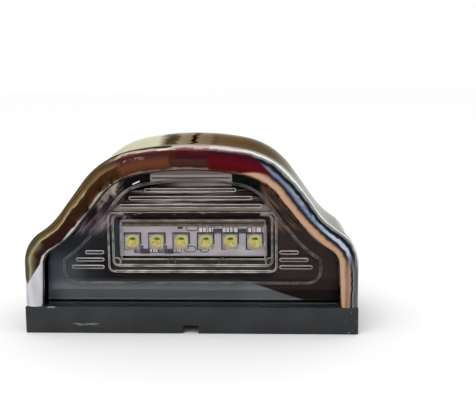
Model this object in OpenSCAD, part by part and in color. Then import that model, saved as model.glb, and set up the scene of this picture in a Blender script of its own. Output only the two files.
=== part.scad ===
// LED number plate lamp: a bell-shaped bright hood over a clear lens, on a black base.
// Front of the lamp towards -Y, width along X, the mounting plane at Z = 0.
// The origin is the middle of the base's footprint on the mounting plane.

/* [Base] */
// Width of the base and of the hood's feet
base_w = 110; // [100:1:124]
// Depth of the base, front to back
base_d = 56; // [50:1:70]
// Height of the base's side wall
base_h = 9; // [7.5:0.5:12]
// Thickness of the base's side walls
base_wall = 2; // [1.5:0.1:3]
// Thickness of the base's top plate
base_top = 2.5; // [2:0.1:3.5]
// Distance behind the front face at which the sides begin to round in
round_start = 28; // [22:1:32]
// Width of the drain notch in the front wall
notch_w = 5; // [3:0.5:10]
// Height of the drain notch
notch_h = 2.7; // [1.5:0.1:4]
// Depth of the ledge in front of the groove
ledge_d = 4.6; // [3:0.1:5]
// Width of the water groove in front of the lens
groove_w = 2; // [1:0.1:2.2]
// Depth of the water groove
groove_depth = 1.2; // [0.5:0.1:1.6]
// Height of the wall that locates the hood
locating_h = 4; // [2:0.5:8]
// Thickness of the locating wall
locating_wall = 1.6; // [1:0.1:2.5]
// Thickness of the stiffening ribs under the base
rib_t = 1.5; // [1:0.1:2.5]

/* [Fixing] */
// Distance between the two threaded inserts
fix_pitch = 70; // [60:1:76]
// Distance of the inserts and of the cable outlet behind the front face
fix_y = 35; // [32:0.5:38]
// Diameter of the insert's thread
fix_thread_d = 5; // [4:0.5:6]
// Outer diameter of the insert
insert_d = 7.5; // [7:0.1:9]
// Wall of the boss round the insert
boss_wall = 2; // [1.5:0.1:3]
// Bore of the cable grommet
cable_d = 5; // [3:0.5:7]
// Diameter of the hole that carries the grommet
outlet_d = 10; // [9:0.5:13]
// Diameter of the grommet's flanges
grommet_flange_d = 14; // [14:0.5:17]
// Thickness of each grommet flange
grommet_flange_t = 1.4; // [1:0.1:2]

/* [Hood] */
// Height of the hood's front rim above the mounting plane
hood_h = 62.2; // [61:0.1:65]
// Height by which the hood's crest stands above its front rim
crest_rise = 2; // [0.8:0.1:5]
// Wall of the hood
hood_wall = 2; // [1.5:0.1:2.6]
// Radius of the arc over the top of the bell
top_r = 100; // [85:1:110]
// Angle over which the top arc runs, each side of the middle
top_angle = 10.4; // [9:0.2:12]
// Radius of the bell's shoulder
shoulder_r = 27; // [25:0.5:29]
// Slope of the bell's straight flank
flank_angle = 53; // [52:0.5:56]
// Radius of the hollow sweep below the flank
sweep_r = 25; // [22:0.5:28]
// Slope at which the hollow sweep meets the foot
foot_angle = 32; // [30:0.5:36]
// Radius of the round above the foot
foot_r = 12.2; // [11.9:0.1:14]
// Share of the rim's width that the hood keeps at its crest
crest_ratio = 0.98; // [0.97:0.005:1]
// Fullness of the dome in side view, 2 being an ellipse
dome_power = 2.2; // [2:0.1:3]
// Fullness of the back corners seen from above
corner_power = 4; // [3:0.2:6]

/* [Rim] */
// Width of the rolled rim seen from the front, about halfway up
rim_w = 7.2; // [6.5:0.1:7.6]
// Share of that width at the top of the bell, where the rim is widest
rim_top_share = 1.15; // [1:0.05:1.2]
// Share of that width at the feet, where the rim is narrowest
rim_foot_share = 0.85; // [0.8:0.05:1]
// Step by which the rim stands proud of the hood behind it
rim_proud = 0.8; // [0.4:0.1:1]
// Depth of the proud band of the rim
rim_band = 6.2; // [5:0.1:6.4]
// Radius of the rim's outer edge
rim_outer_r = 2.2; // [1.5:0.1:2.6]
// Radius of the rim's inner edge
rim_inner_r = 1.8; // [1.2:0.1:2.4]
// Crown of the rim's front face
rim_crown = 0.3; // [0.1:0.1:0.6]

/* [Lens] */
// Distance of the lens face behind the base's front
lens_y = 7; // [6.8:0.1:8]
// Thickness of the lens
lens_t = 2.5; // [2:0.1:3]
// Height by which the bell panel is raised on the lens
panel_rise = 0.6; // [0.3:0.1:1]
// Distance of the panel's edge inside the hood's outline
panel_inset = 11.8; // [11:0.1:11.9]
// Height of the panel's lower edge above the mounting plane
panel_z = 15.9; // [15:0.1:18]
// Radius of the panel's lower corners
panel_r = 4; // [2:0.5:5]
// Height and depth of the ribs on the panel
lens_rib = 1.1; // [0.8:0.1:1.4]
// Height by which the ribs stand out of the panel
lens_rib_rise = 0.45; // [0.3:0.05:0.8]
// Distance of the uppermost long rib below the top of the rim
long_rib_drop = 15.2; // [14.6:0.1:16]
// Distance between the long ribs
long_rib_pitch = 2.65; // [2.4:0.05:2.7]
// Half lengths of the long ribs, from the top one down
long_rib_half = [15.2, 20.5, 23.6];
// Height of the uppermost side rib above the mounting plane
side_rib_z = 26.1; // [25.5:0.1:27]
// Distance between the side ribs
side_rib_pitch = 2.5; // [2:0.1:2.6]
// Distance of the side ribs' inner ends from the middle
side_rib_start = 29.6; // [29.4:0.1:31]
// Distances of the side ribs' outer ends from the middle, from the top one down
side_rib_end = [35.7, 38.9, 40.3];
// Half width of the pad that keys the lens into the housing's arch
key_half = 13.3; // [8:0.1:16]
// Distance of the arch's outer edge inside the hood's outline
arch_inset = 9.4; // [9:0.1:10]
// Width of the arch
arch_w = 3.2; // [2:0.1:4]

/* [Light well] */
// Half width of the light well at the lens
well_half_w = 28; // [27.5:0.1:28.5]
// Lower edge of the light well at the lens
well_z0 = 19.6; // [19:0.1:20.5]
// Upper edge of the light well at the lens
well_z1 = 39.3; // [38.5:0.1:39.6]
// Half width of the light well at its inner end
window_half_w = 24.6; // [24.2:0.1:26.4]
// Lower edge of the light well at its inner end
window_z0 = 22.8; // [21:0.1:23]
// Upper edge of the light well at its inner end
window_z1 = 36; // [35.6:0.1:38]
// Wall of the light well
well_wall = 1.6; // [1:0.1:1.8]
// Depth of the light well behind the lens
well_d = 2.6; // [2:0.1:3]
// Diameter of the moulding pips in the well's lower corners
pip_d = 2.6; // [2:0.1:3]
// How far each pip's middle lies outside the corner of the well's inner end
pip_out = 0.7; // [0.4:0.1:1]

/* [Housing] */
// Thickness of the seal between lens and housing
seal_t = 0.5; // [0.3:0.1:1]
// Width of the seal
seal_w = 2.4; // [1.5:0.1:3]
// How far the seal lies inside the lens's own edge
seal_inset = 1; // [0.8:0.1:1.4]
// Thickness of the housing's front plate
plate_t = 2; // [1.5:0.1:2.5]
// Depth of the housing's foot behind the front plate
foot_d = 15; // [13:0.5:15.5]
// Thickness of the housing's foot
foot_t = 2.4; // [2:0.1:3]
// Half width of the housing's foot
foot_half_w = 46; // [42:1:47]
// Distance of the housing's gussets from the middle
gusset_x = 34; // [33:0.5:35]
// Distance of the two housing screws from the middle
housing_screw_x = 41; // [40:0.5:42]
// Distance of the housing screws behind the front plate
housing_screw_y = 10; // [8:0.5:11]

/* [Light board] */
// Length of the light board
board_w = 66; // [65:1:70]
// Height of the light board
board_h = 10.4; // [10.2:0.1:12]
// Thickness of the light board
board_t = 1.6; // [1:0.1:2]
// Height of the row of diodes above the mounting plane
led_z = 28.4; // [28:0.1:29]
// Distance between the diodes
led_pitch = 8.33; // [8:0.01:8.5]
// Side of a diode's square case
led_case = 5; // [3.5:0.1:5.2]
// Height of a diode's case
led_case_t = 1.6; // [1.2:0.1:1.8]
// Diameter of a diode's round yellow lens
led_dome_d = 3.8; // [2.5:0.1:4]
// Depth of the round lens in its case
led_dome_t = 0.6; // [0.3:0.1:0.9]
// Length of a chip resistor
chip_w = 3.1; // [2:0.1:3.2]
// Height of a chip resistor
chip_h = 1.5; // [1:0.1:1.7]
// Thickness of a chip resistor
chip_t = 0.6; // [0.4:0.05:0.8]
// Height of the chips above or below the row of diodes
chip_offset = 3.5; // [3.4:0.05:3.8]

/* [Screws] */
// Thread diameter of the two board screws
board_screw_d = 2.2; // [2:0.1:2.6]
// Distance of the board screws from the middle
board_screw_x = 30; // [29.5:0.1:30.5]
// Thread diameter of the two housing screws
housing_screw_d = 3; // [2.5:0.1:3.5]
// Length of the housing screws' thread
housing_screw_l = 9; // [7:0.5:9.5]
// Wall of the bosses that the board screws turn into
board_boss_wall = 1.6; // [1:0.1:2]
// Wall and closed end of the bosses that the housing screws turn into
housing_boss_wall = 2; // [1.2:0.1:2.2]
// Thickness of a screw's head
screw_head_t = 1.5; // [1:0.1:2]

/* [Fits] */
// Clearance between pieces that sit close
fit = 0.3; // [0.2:0.05:0.4]
// Clearance round screws, inserts and other pressed pieces
press = 0.05; // [0.02:0.01:0.1]

/* [Hidden] */

$fn = 64;
half_w = base_w / 2;
front = -base_d / 2;
hollow_h = base_h - base_top;
notch_cut = 2 * base_wall;
groove_half_w = half_w - rim_w * rim_foot_share - 2 * fit;

// Steps along each stretch of the bell: top, shoulder, sweep and foot
top_steps = 6;
shoulder_steps = 8;
sweep_steps = 6;
foot_steps = 10;
// Steps along the hood: rising to the crest, round the dome, and round each edge of the rim
rise_steps = 5;
dome_steps = 9;
edge_steps = 4;
// Share of the dome's depth at which it ends in the small upright back wall
end_ratio = 0.994;

// Length of the straight flank that makes the bell as wide as the base
flank_l = (half_w - top_r * sin(top_angle) - shoulder_r * (sin(flank_angle) - sin(top_angle))
    - sweep_r * (sin(flank_angle) - sin(foot_angle)) - foot_r * (1 - sin(foot_angle)))
    / cos(flank_angle);

// Centres of the bell's arcs, each found from the one before
top_c = [0, hood_h - top_r];
shoulder_c = top_c + (top_r - shoulder_r) * [sin(top_angle), cos(top_angle)];
flank_a = shoulder_c + shoulder_r * [sin(flank_angle), cos(flank_angle)];
flank_b = flank_a + flank_l * [cos(flank_angle), -sin(flank_angle)];
sweep_c = flank_b + sweep_r * [sin(flank_angle), cos(flank_angle)];
foot_c = sweep_c - (sweep_r + foot_r) * [sin(foot_angle), cos(foot_angle)];

// Share of the rim's width at a height on the bell
function rim_share(z) = rim_foot_share
    + (rim_top_share - rim_foot_share) * (z - base_h) / (hood_h - base_h);

// One arc of the bell, r negative where it curves the other way, moved in by inset, or by the rim's share of it
function bell_arc(c, r, a0, a1, n, inset, rim) = [for (i = [0:n]) let (
        a = a0 + (a1 - a0) * i / n,
        way = [sin(a), cos(a)],
        in = rim ? inset * rim_share((c + r * way)[1]) : inset,
        ri = r < 0 ? r - in : max(r - in, 0.02))
    c + ri * way];

// Right half of the bell from the middle of the top down to the foot round
function bell_half(inset, rim) = concat(
    bell_arc(top_c, top_r, 0, top_angle, top_steps, inset, rim),
    bell_arc(shoulder_c, shoulder_r, top_angle, flank_angle, shoulder_steps, inset, rim),
    bell_arc(sweep_c, -sweep_r, flank_angle, foot_angle, sweep_steps, inset, rim),
    bell_arc(foot_c, foot_r, foot_angle, 90, foot_steps, inset, rim)
);

// The whole bell from the left foot over the top to the right foot, ending at height z
function bell_line(inset, z, rim = false) = let (
        h = tidy(bell_half(inset, rim)),
        n = len(h),
        x = half_w - (rim ? inset * rim_share(z) : inset)) concat(
    [[-x, z]],
    [for (i = [n - 1:-1:1]) [-h[i][0], h[i][1]]],
    h,
    [[x, z]]
);

// Leaves out each point that falls on the one before it
function tidy(p) = [for (i = [0:len(p) - 1]) if (i == 0 || norm(p[i] - p[i - 1]) > 0.001) p[i]];

// The bell as a closed outline with rounded lower corners
function bell_outline(inset, z, r) = let (b = bell_line(inset, z + r), x = half_w - inset - r) concat(
    b,
    r > 0 ? [for (i = [1:6]) [x, z + r] + r * [cos(-15 * i), sin(-15 * i)]] : [],
    r > 0 ? [for (i = [6:-1:1]) [-x, z + r] + r * [-cos(-15 * i), sin(-15 * i)]] : []
);

// Rounding factor of a superellipse at the share t of the way to the back
function fullness(t, power) = pow(1 - pow(t, power), 1 / power);

// Height and width factors of the hood at its crest
crest_tall = (hood_h + crest_rise - base_h) / (hood_h - rim_proud - base_h);
rise_from = rim_band + rim_proud;

// Smooth step from 0 to 1
function ease(u) = (1 - cos(180 * u)) / 2;

// Stations of the hood's skin from the rim to the back: [inset, y, width factor, height factor, rim or not]
function skin(inset, back) = concat(
    [for (i = [0:rise_steps - 1]) let (u = i / rise_steps, e = ease(u))
        [inset, rise_from + (round_start - rise_from) * u,
            1 + (crest_ratio - 1) * e, 1 + (crest_tall - 1) * e, false]],
    [for (i = [0:dome_steps]) let (t = sin(asin(end_ratio) * i / dome_steps))
        [inset, round_start + (back - round_start) * t / end_ratio,
            crest_ratio * fullness(t, corner_power), crest_tall * fullness(t, dome_power), false]]
);

// Stations round the rim, from its back edge over the front to its inner edge, marked as the rim's
rim_face = rim_w - rim_inner_r;
rim_stations = concat(
    [[0, rim_band, 1, 1, true]],
    [for (i = [0:edge_steps]) let (a = 90 * i / edge_steps)
        [rim_outer_r * (1 - cos(a)), rim_crown + rim_outer_r * (1 - sin(a)), 1, 1, true]],
    [[(rim_outer_r + rim_face) / 2, 0, 1, 1, true]],
    [for (i = [0:edge_steps]) let (a = 90 * i / edge_steps)
        [rim_face + rim_inner_r * sin(a), rim_crown + rim_inner_r * (1 - cos(a)), 1, 1, true]],
    [[rim_w, lens_y - fit, 1, 1, true]],
    [[rim_proud + hood_wall, lens_y - fit, 1, 1, false]]
);
outer_skin = skin(rim_proud, base_d - rim_proud);
inner_skin = skin(rim_proud + hood_wall, base_d - rim_proud - hood_wall);
hood_stations = concat(
    [for (i = [len(outer_skin) - 1:-1:0]) outer_skin[i]],
    rim_stations,
    inner_skin
);

// One station's ring of points
function ring(s) = [for (p = bell_line(s[0], base_h, s[4]))
    [p[0] * s[2], s[1], base_h + (p[1] - base_h) * s[3]]];

// Right side of a plan outline, inset from the base's own, from y0 to the back
function plan_side(inset, back, y0, width) = concat(
    [[(half_w - inset) * width, y0]],
    [for (i = [0:dome_steps]) let (t = sin(asin(end_ratio) * i / dome_steps))
        [(half_w - inset) * width * fullness(t, corner_power),
            round_start + (back - round_start) * t / end_ratio]]
);

// Closed plan outline of the base, the hood or a wall inside them
module plan(inset, back, y0, width = 1) {
    side = plan_side(inset, back, y0, width);
    polygon(concat(side, [for (i = [len(side) - 1:-1:0]) [-side[i][0], side[i][1]]]));
}

// A flat shape drawn in X and Z, made solid from y0 to y1
module slab(y0, y1) {
    translate([0, y1, 0]) rotate([90, 0, 0]) linear_extrude(y1 - y0) children();
}

// Moves a piece from the base's front face to the part's own origin
module from_front() {
    translate([0, front, 0]) children();
}

// A bar with round ends, seen from the front
module bar(x0, x1, z, h) {
    translate([x0 + h / 2, z]) circle(d = h);
    translate([x1 - h / 2, z]) circle(d = h);
    translate([x0 + h / 2, z - h / 2]) square([x1 - x0 - h, h]);
}

// A four-sided block that narrows from y0 to y1
module taper(y0, y1, half0, za0, zb0, half1, za1, zb1) {
    intersection() {
        translate([0, 0, za0])
            linear_extrude(zb0 - za0)
                polygon([[-half0, y0], [half0, y0], [half1, y1], [-half1, y1]]);
        translate([-half0, 0, 0])
            rotate([90, 0, 90])
                linear_extrude(2 * half0)
                    polygon([[y0, za0], [y1, za1], [y1, zb1], [y0, zb0]]);
    }
}

lens_back = lens_y + lens_t;
plate_y = lens_back + seal_t;
plate_back = plate_y + plate_t;
well_end = lens_back + well_d;
lens_inset = rim_proud + hood_wall + fit;

// The light well's outer faces grown by grow, or its inner faces where grow is minus the wall
module well_block(grow, over) {
    slope_x = (well_half_w - window_half_w) / well_d;
    slope_a = (window_z0 - well_z0) / well_d;
    slope_b = (well_z1 - window_z1) / well_d;
    taper(lens_back - over, well_end + over,
        well_half_w + grow + slope_x * over, well_z0 - grow - slope_a * over, well_z1 + grow + slope_b * over,
        window_half_w + grow - slope_x * over, window_z0 - grow + slope_a * over,
        window_z1 + grow - slope_b * over);
}

insert_boss_d = insert_d + 2 * boss_wall;
// Distance of the two ribs under the base from the middle
cross_rib_x = (fix_pitch - insert_boss_d) / 4 + grommet_flange_d / 4;

module base() {
    color("#2e3136") from_front() difference() {
        union() {
            difference() {
                linear_extrude(base_h) plan(0, base_d, 0);
                translate([0, 0, -1])
                    linear_extrude(hollow_h + 1) plan(base_wall, base_d - base_wall, base_wall);
            }
            // Wall that the hood locates on
            translate([0, 0, base_h - 1]) linear_extrude(locating_h + 1) difference() {
                plan(lens_inset, base_d - lens_inset, plate_back + foot_d / 2, crest_ratio);
                plan(lens_inset + locating_wall, base_d - lens_inset - locating_wall,
                    plate_back + foot_d / 2 - 1, crest_ratio);
            }
            for (side = [-1, 1]) {
                translate([side * fix_pitch / 2, fix_y, 0])
                    cylinder(h = base_h - 1, d = insert_boss_d);
                translate([side * cross_rib_x - rib_t / 2, base_wall / 2, rib_t])
                    cube([rib_t, base_d - base_wall, hollow_h]);
            }
        }
        // Drain notch in the front wall
        translate([-notch_w / 2, -base_wall / 2, -1]) cube([notch_w, notch_cut, notch_h + 1]);
        // Water groove in front of the lens
        translate([-groove_half_w, ledge_d, base_h - groove_depth])
            cube([2 * groove_half_w, groove_w, base_h]);
        for (side = [-1, 1]) {
            translate([side * fix_pitch / 2, fix_y, -1])
                cylinder(h = hollow_h + 1, d = insert_d + 2 * press);
            translate([side * housing_screw_x, plate_back + housing_screw_y, 0])
                cylinder(h = base_h + 1, d = housing_screw_d + 2 * press);
        }
        translate([0, fix_y, 0]) cylinder(h = base_h + 1, d = outlet_d + 2 * press);
    }
}

// Level strips over one ring from b on, with n points, wound the way its points run
function level_strips(b, n) = let (c = (n - 1) / 2) concat(
    [for (i = [0:c - 1]) [b + i, b + i + 1, b + n - 1 - i]],
    [for (i = [0:c - 2]) [b + i + 1, b + n - 2 - i, b + n - 1 - i]]
);

// The same faces seen from their other side
function turned(faces) = [for (f = faces) [f[2], f[1], f[0]]];

// One side's edge under the hood, on point e of each ring: a strip between the skins, then the rim's section
function under_edge(e, n, m, k) = let (heel = m - k - 1) concat(
    [for (s = [0:k - 2]) each [
        [s * n + e, (s + 1) * n + e, (m - 2 - s) * n + e],
        [s * n + e, (m - 2 - s) * n + e, (m - 1 - s) * n + e]
    ]],
    [[heel * n + e, (heel + 1) * n + e, (k - 1) * n + e]],
    [for (s = [k - 1:heel - 2]) [heel * n + e, s * n + e, (s + 1) * n + e]]
);

module hood() {
    rings = [for (s = hood_stations) ring(s)];
    n = len(rings[0]);
    m = len(rings);
    last = (m - 1) * n;
    sides = [for (s = [0:m - 2]) for (i = [0:n - 2]) each [
        [s * n + i, s * n + i + 1, (s + 1) * n + i + 1],
        [s * n + i, (s + 1) * n + i + 1, (s + 1) * n + i]
    ]];
    back_edge = [[last, last + n - 1, n - 1], [last, n - 1, 0]];
    color("silver") from_front() polyhedron([for (r = rings) each r], concat(
        sides,
        turned(level_strips(0, n)),
        level_strips(last, n),
        under_edge(0, n, m, len(outer_skin)),
        turned(under_edge(n - 1, n, m, len(outer_skin))),
        back_edge
    ));
}

module lens() {
    color("gainsboro", 0.5) from_front() {
        difference() {
            union() {
                slab(lens_y, lens_back) polygon(bell_outline(lens_inset, base_h, 0));
                well_block(0, 0);
            }
            difference() {
                well_block(-well_wall, 0.5);
                slab(0, lens_back) square(2 * base_w, center = true);
            }
        }
        // Raised bell panel with its ribs
        slab(lens_y - panel_rise, lens_y) polygon(bell_outline(panel_inset, panel_z, panel_r));
        slab(lens_y - panel_rise - lens_rib_rise, lens_y - panel_rise) {
            for (i = [0:len(long_rib_half) - 1])
                bar(-long_rib_half[i], long_rib_half[i], hood_h - long_rib_drop - i * long_rib_pitch, lens_rib);
            for (side = [0, 1], i = [0:len(side_rib_end) - 1])
                mirror([side, 0])
                    bar(side_rib_start, side_rib_end[i], side_rib_z - i * side_rib_pitch, lens_rib);
        }
        // Key pad in the gap of the housing's arch
        slab(lens_back, plate_y) intersection() {
            arch(arch_inset + fit, arch_inset + arch_w - fit);
            translate([-key_half + fit, 0]) square([2 * (key_half - fit), 2 * hood_h]);
        }
        // Moulding pips in the well's lower corners
        intersection() {
            well_block(0, 0);
            for (side = [-1, 1])
                translate([side * (window_half_w + pip_out), lens_back + well_d / 2, window_z0 - pip_out])
                    rotate([-90, 0, 0]) cylinder(h = well_d / 2, d = pip_d);
        }
    }
}

// The housing's raised arch, between two insets of the bell and above the window
module arch(inset_a, inset_b) {
    intersection() {
        difference() {
            polygon(bell_outline(inset_a, panel_z, 0));
            polygon(bell_outline(inset_b, panel_z - 1, 0));
        }
        translate([-half_w, well_z1 + fit]) square([base_w, hood_h]);
    }
}

module lens_seal() {
    color("#1b1b1d") from_front() slab(lens_back, plate_y) difference() {
        polygon(bell_outline(lens_inset + seal_inset, base_h + seal_inset, 0));
        polygon(bell_outline(lens_inset + seal_inset + seal_w, base_h + seal_inset + seal_w, 0));
    }
}

board_front = well_end + fit + led_case_t;
board_back = board_front + board_t;
board_boss_d = board_screw_d + 2 * board_boss_wall;
housing_boss_d = housing_screw_d + 2 * housing_boss_wall;
housing_boss_h = housing_screw_l - base_top + housing_boss_wall;

module housing() {
    color("#26282c") from_front() difference() {
        union() {
            slab(plate_y, plate_back) polygon(bell_outline(lens_inset + fit, base_h, 0));
            // Arch behind the lens, open in the middle for the lens's key
            slab(lens_back + fit / 2, plate_y) difference() {
                arch(arch_inset, arch_inset + arch_w);
                translate([-key_half, 0]) square([2 * key_half, 2 * hood_h]);
            }
            translate([-foot_half_w, plate_y, base_h])
                cube([2 * foot_half_w, plate_t + foot_d, foot_t]);
            for (side = [-1, 1]) {
                // Gussets that brace the plate
                translate([side * gusset_x - rib_t / 2, 0, 0])
                    rotate([90, 0, 90])
                        linear_extrude(rib_t)
                            polygon([[plate_back - 1, base_h + 1], [plate_back + foot_d - 1, base_h + 1],
                                [plate_back + foot_d - 1, base_h + foot_t + 1],
                                [plate_back - 1, base_h + foot_t + foot_d + 1]]);
                translate([side * housing_screw_x, plate_back + housing_screw_y, base_h])
                    cylinder(h = housing_boss_h, d = housing_boss_d);
                translate([side * board_screw_x, plate_back - 1, led_z])
                    rotate([-90, 0, 0]) cylinder(h = board_front - plate_back + 1, d = board_boss_d);
            }
        }
        well_block(fit, 1);
        for (side = [-1, 1]) {
            translate([side * housing_screw_x, plate_back + housing_screw_y, base_h - 1])
                cylinder(h = housing_screw_l - base_top + 1 + fit, d = housing_screw_d + 2 * press);
            translate([side * board_screw_x, plate_y + plate_t / 2, led_z])
                rotate([-90, 0, 0])
                    cylinder(h = board_front, d = board_screw_d + 2 * press);
        }
    }
}

module light_board() {
    color("#e6e2e6") from_front() difference() {
        translate([-board_w / 2, board_front, led_z - board_h / 2]) cube([board_w, board_t, board_h]);
        for (side = [-1, 1])
            translate([side * board_screw_x, board_front - 1, led_z])
                rotate([-90, 0, 0]) cylinder(h = board_t + 2, d = board_screw_d + 2 * press);
    }
}

function led_x(i) = (i - 3.5) * led_pitch;

module led_case(i) {
    color("#efe9c8") from_front() translate([led_x(i), board_front, led_z]) difference() {
        translate([-led_case / 2, -led_case_t, -led_case / 2]) cube([led_case, led_case_t, led_case]);
        translate([0, -led_case_t - 1, 0])
            rotate([-90, 0, 0]) cylinder(h = led_dome_t + 1, d = led_dome_d + 2 * press);
    }
}

module led_dome(i) {
    color("#d8c84a") from_front() translate([led_x(i), board_front - led_case_t, led_z])
        rotate([-90, 0, 0]) cylinder(h = led_dome_t, d = led_dome_d);
}

// Chips stand between the diodes: two below the row on the left, two above it on the right
chip_places = [[1.5, -1], [2.5, -1], [4.5, 1], [5.5, 1]];

module chip(i) {
    place = chip_places[i - 1];
    color("#2b2a30") from_front()
        translate([led_x(place[0]) - chip_w / 2, board_front - chip_t, led_z + place[1] * chip_offset - chip_h / 2])
            cube([chip_w, chip_t, chip_h]);
}

// A round-headed screw along +Z, with its head below z = 0
module screw(d, l, head_d) {
    cylinder(h = l, d = d);
    difference() {
        translate([0, 0, -screw_head_t]) cylinder(h = screw_head_t, d = head_d);
        translate([0, 0, -screw_head_t - 1]) for (a = [0, 90]) rotate(a)
            translate([-head_d / 3, -head_d / 14, 0]) cube([head_d / 1.5, head_d / 7, 1 + screw_head_t / 2]);
    }
}

module board_screws() {
    color("#b9bcc0") from_front() for (side = [-1, 1])
        translate([side * board_screw_x, board_back, led_z])
            rotate([90, 0, 0])
                screw(board_screw_d, board_back - plate_y - plate_t / 2 - fit, 2 * board_screw_d);
}

module housing_screws() {
    color("#b9bcc0") from_front() for (side = [-1, 1])
        translate([side * housing_screw_x, plate_back + housing_screw_y, hollow_h])
            screw(housing_screw_d, housing_screw_l, 2 * housing_screw_d);
}

module threaded_inserts() {
    color("#c8a24a") from_front() for (side = [-1, 1])
        translate([side * fix_pitch / 2, fix_y, 0]) difference() {
            cylinder(h = hollow_h, d = insert_d);
            translate([0, 0, -1]) cylinder(h = hollow_h + 2, d = fix_thread_d);
        }
}

module cable_grommet() {
    color("#202124") from_front() translate([0, fix_y, 0]) difference() {
        union() {
            translate([0, 0, hollow_h - grommet_flange_t])
                cylinder(h = grommet_flange_t, d = grommet_flange_d);
            translate([0, 0, hollow_h - 0.5]) cylinder(h = base_top + 1, d = outlet_d);
            translate([0, 0, base_h]) cylinder(h = grommet_flange_t, d = grommet_flange_d);
        }
        translate([0, 0, hollow_h - grommet_flange_t - 1])
            cylinder(h = base_top + 2 * grommet_flange_t + 2, d = cable_d);
    }
}

base();
hood();
lens();
lens_seal();
housing();
light_board();
for (i = [1:6]) led_case(i);
for (i = [1:6]) led_dome(i);
for (i = [1:4]) chip(i);
board_screws();
housing_screws();
threaded_inserts();
cable_grommet();
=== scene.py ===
import math
from collections import namedtuple

import bmesh
import bpy
from bpy.props import FloatProperty, FloatVectorProperty, IntProperty, PointerProperty
from mathutils import Matrix, Vector


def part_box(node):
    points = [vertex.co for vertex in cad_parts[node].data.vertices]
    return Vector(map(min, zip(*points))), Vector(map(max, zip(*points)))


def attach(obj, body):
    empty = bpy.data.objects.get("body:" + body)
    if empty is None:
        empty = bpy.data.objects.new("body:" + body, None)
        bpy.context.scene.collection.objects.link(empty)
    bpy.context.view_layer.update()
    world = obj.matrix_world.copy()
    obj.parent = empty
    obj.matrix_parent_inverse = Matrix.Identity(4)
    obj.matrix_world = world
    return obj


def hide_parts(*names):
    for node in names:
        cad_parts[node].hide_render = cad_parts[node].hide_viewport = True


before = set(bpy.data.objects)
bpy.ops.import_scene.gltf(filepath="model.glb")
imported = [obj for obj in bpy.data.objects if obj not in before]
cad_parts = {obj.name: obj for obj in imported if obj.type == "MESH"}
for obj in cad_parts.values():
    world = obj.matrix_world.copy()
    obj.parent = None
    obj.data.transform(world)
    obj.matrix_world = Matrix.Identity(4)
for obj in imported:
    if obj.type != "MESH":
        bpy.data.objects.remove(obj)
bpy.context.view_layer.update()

bl_info = {
    "name": "Number plate lamp",
    "version": (1, 0, 0),
    "blender": (4, 5, 0),
    "location": "View3D > Sidebar > Lamp",
    "description": "Builds the looks of an LED number plate lamp round its CAD frame",
    "category": "Object",
}

MM = 0.001
# The frame's front face in millimetres: the lamp's own depths are measured back from it
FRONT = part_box("base")[0].y / MM
# Points nearer than this, in metres, are merged: those of a new mesh and of a frame's mesh
MERGE = 1e-7
MERGE_FRAME = 1e-6
# An edge shorter than this, in metres, has no length
NO_LENGTH = 1e-8

MATH = "ShaderNodeMath"
MIX = "ShaderNodeMix"
RANGE = "ShaderNodeMapRange"
NOISE = "ShaderNodeTexNoise"
RAMP = "ShaderNodeValToRGB"
ATTRIBUTE = "ShaderNodeAttribute"


def of_frame(name, end, axis):
    """Where a piece of the frame begins (end 0) or ends (end 1) along x, y or z, to a thousandth of a
    millimetre. Depths, along y, are measured from the front."""
    place = getattr(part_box(name)[end], axis) / MM
    return round(place - FRONT if axis == "y" else place, 3)


def linear(code):
    """Turns an sRGB hex colour into the linear one that Blender works in."""
    values = [int(code[i:i + 2], 16) / 255 for i in (1, 3, 5)]
    return tuple(v / 12.92 if v <= 0.04045 else ((v + 0.055) / 1.055) ** 2.4 for v in values)


def rgba(code):
    """The same colour as an opaque one of four values."""
    return (*linear(code), 1.0)


# What a user would change

CREST_RISE = 2.0


class LampSizes(bpy.types.PropertyGroup):
    rim_width: FloatProperty(name="Rim width", description="Width of the rolled rim seen from the front",
                             default=7.2 * MM, unit="LENGTH")
    rim_depth: FloatProperty(name="Rim depth", description="Depth of the rim's proud band",
                             default=6.2 * MM, unit="LENGTH")
    rim_outer: FloatProperty(name="Rim outer round", description="Radius of the rim's outer edge",
                             default=2.2 * MM, unit="LENGTH")
    rim_inner: FloatProperty(name="Rim inner round", description="Radius of the rim's inner edge",
                             default=1.8 * MM, unit="LENGTH")
    crest_rise: FloatProperty(name="Crest rise", description="Height of the crest above the front rim",
                              default=CREST_RISE * MM, unit="LENGTH")
    rib_width: FloatProperty(name="Lens rib width", description="Width of each rib on the lens",
                             default=1.35 * MM, unit="LENGTH")
    rib_rise: FloatProperty(name="Lens rib rise", description="How far the ribs stand out of the lens",
                            default=0.45 * MM, unit="LENGTH")
    base_round: FloatProperty(name="Base edge round", description="Radius of the base's moulded edges",
                              default=0.35 * MM, unit="LENGTH")
    led_pitch: FloatProperty(name="Diode pitch", description="Distance between neighbouring diodes",
                             default=8.33 * MM, unit="LENGTH")
    led_count: IntProperty(name="Diodes", description="Number of diodes in the row", default=6, min=1)


class LampColours(bpy.types.PropertyGroup):
    base: FloatVectorProperty(name="Base", description="Black of the moulded base",
                              default=linear("#1b1e21"), subtype="COLOR", min=0, max=1)
    board: FloatVectorProperty(name="Board", description="Solder resist of the light board",
                               default=linear("#cac3ca"), subtype="COLOR", min=0, max=1)
    phosphor: FloatVectorProperty(name="Phosphor", description="Yellow of the diodes' lenses",
                                  default=linear("#ecdf74"), subtype="COLOR", min=0, max=1)
    floor: FloatVectorProperty(name="Floor", description="Colour of the floor",
                               default=linear("#fdfdfd"), subtype="COLOR", min=0, max=1)


class StageSettings(bpy.types.PropertyGroup):
    world_light: FloatProperty(name="Room light", description="Strength of the even light of the room",
                               default=1.0, min=0)
    key_light: FloatProperty(name="Key light", description="Power of the large soft lamp",
                             default=1.4, min=0, unit="POWER")
    focal: FloatProperty(name="Focal length", description="Focal length of the camera in millimetres",
                         default=68.07, min=1, unit="CAMERA")


# Helpers

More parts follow.
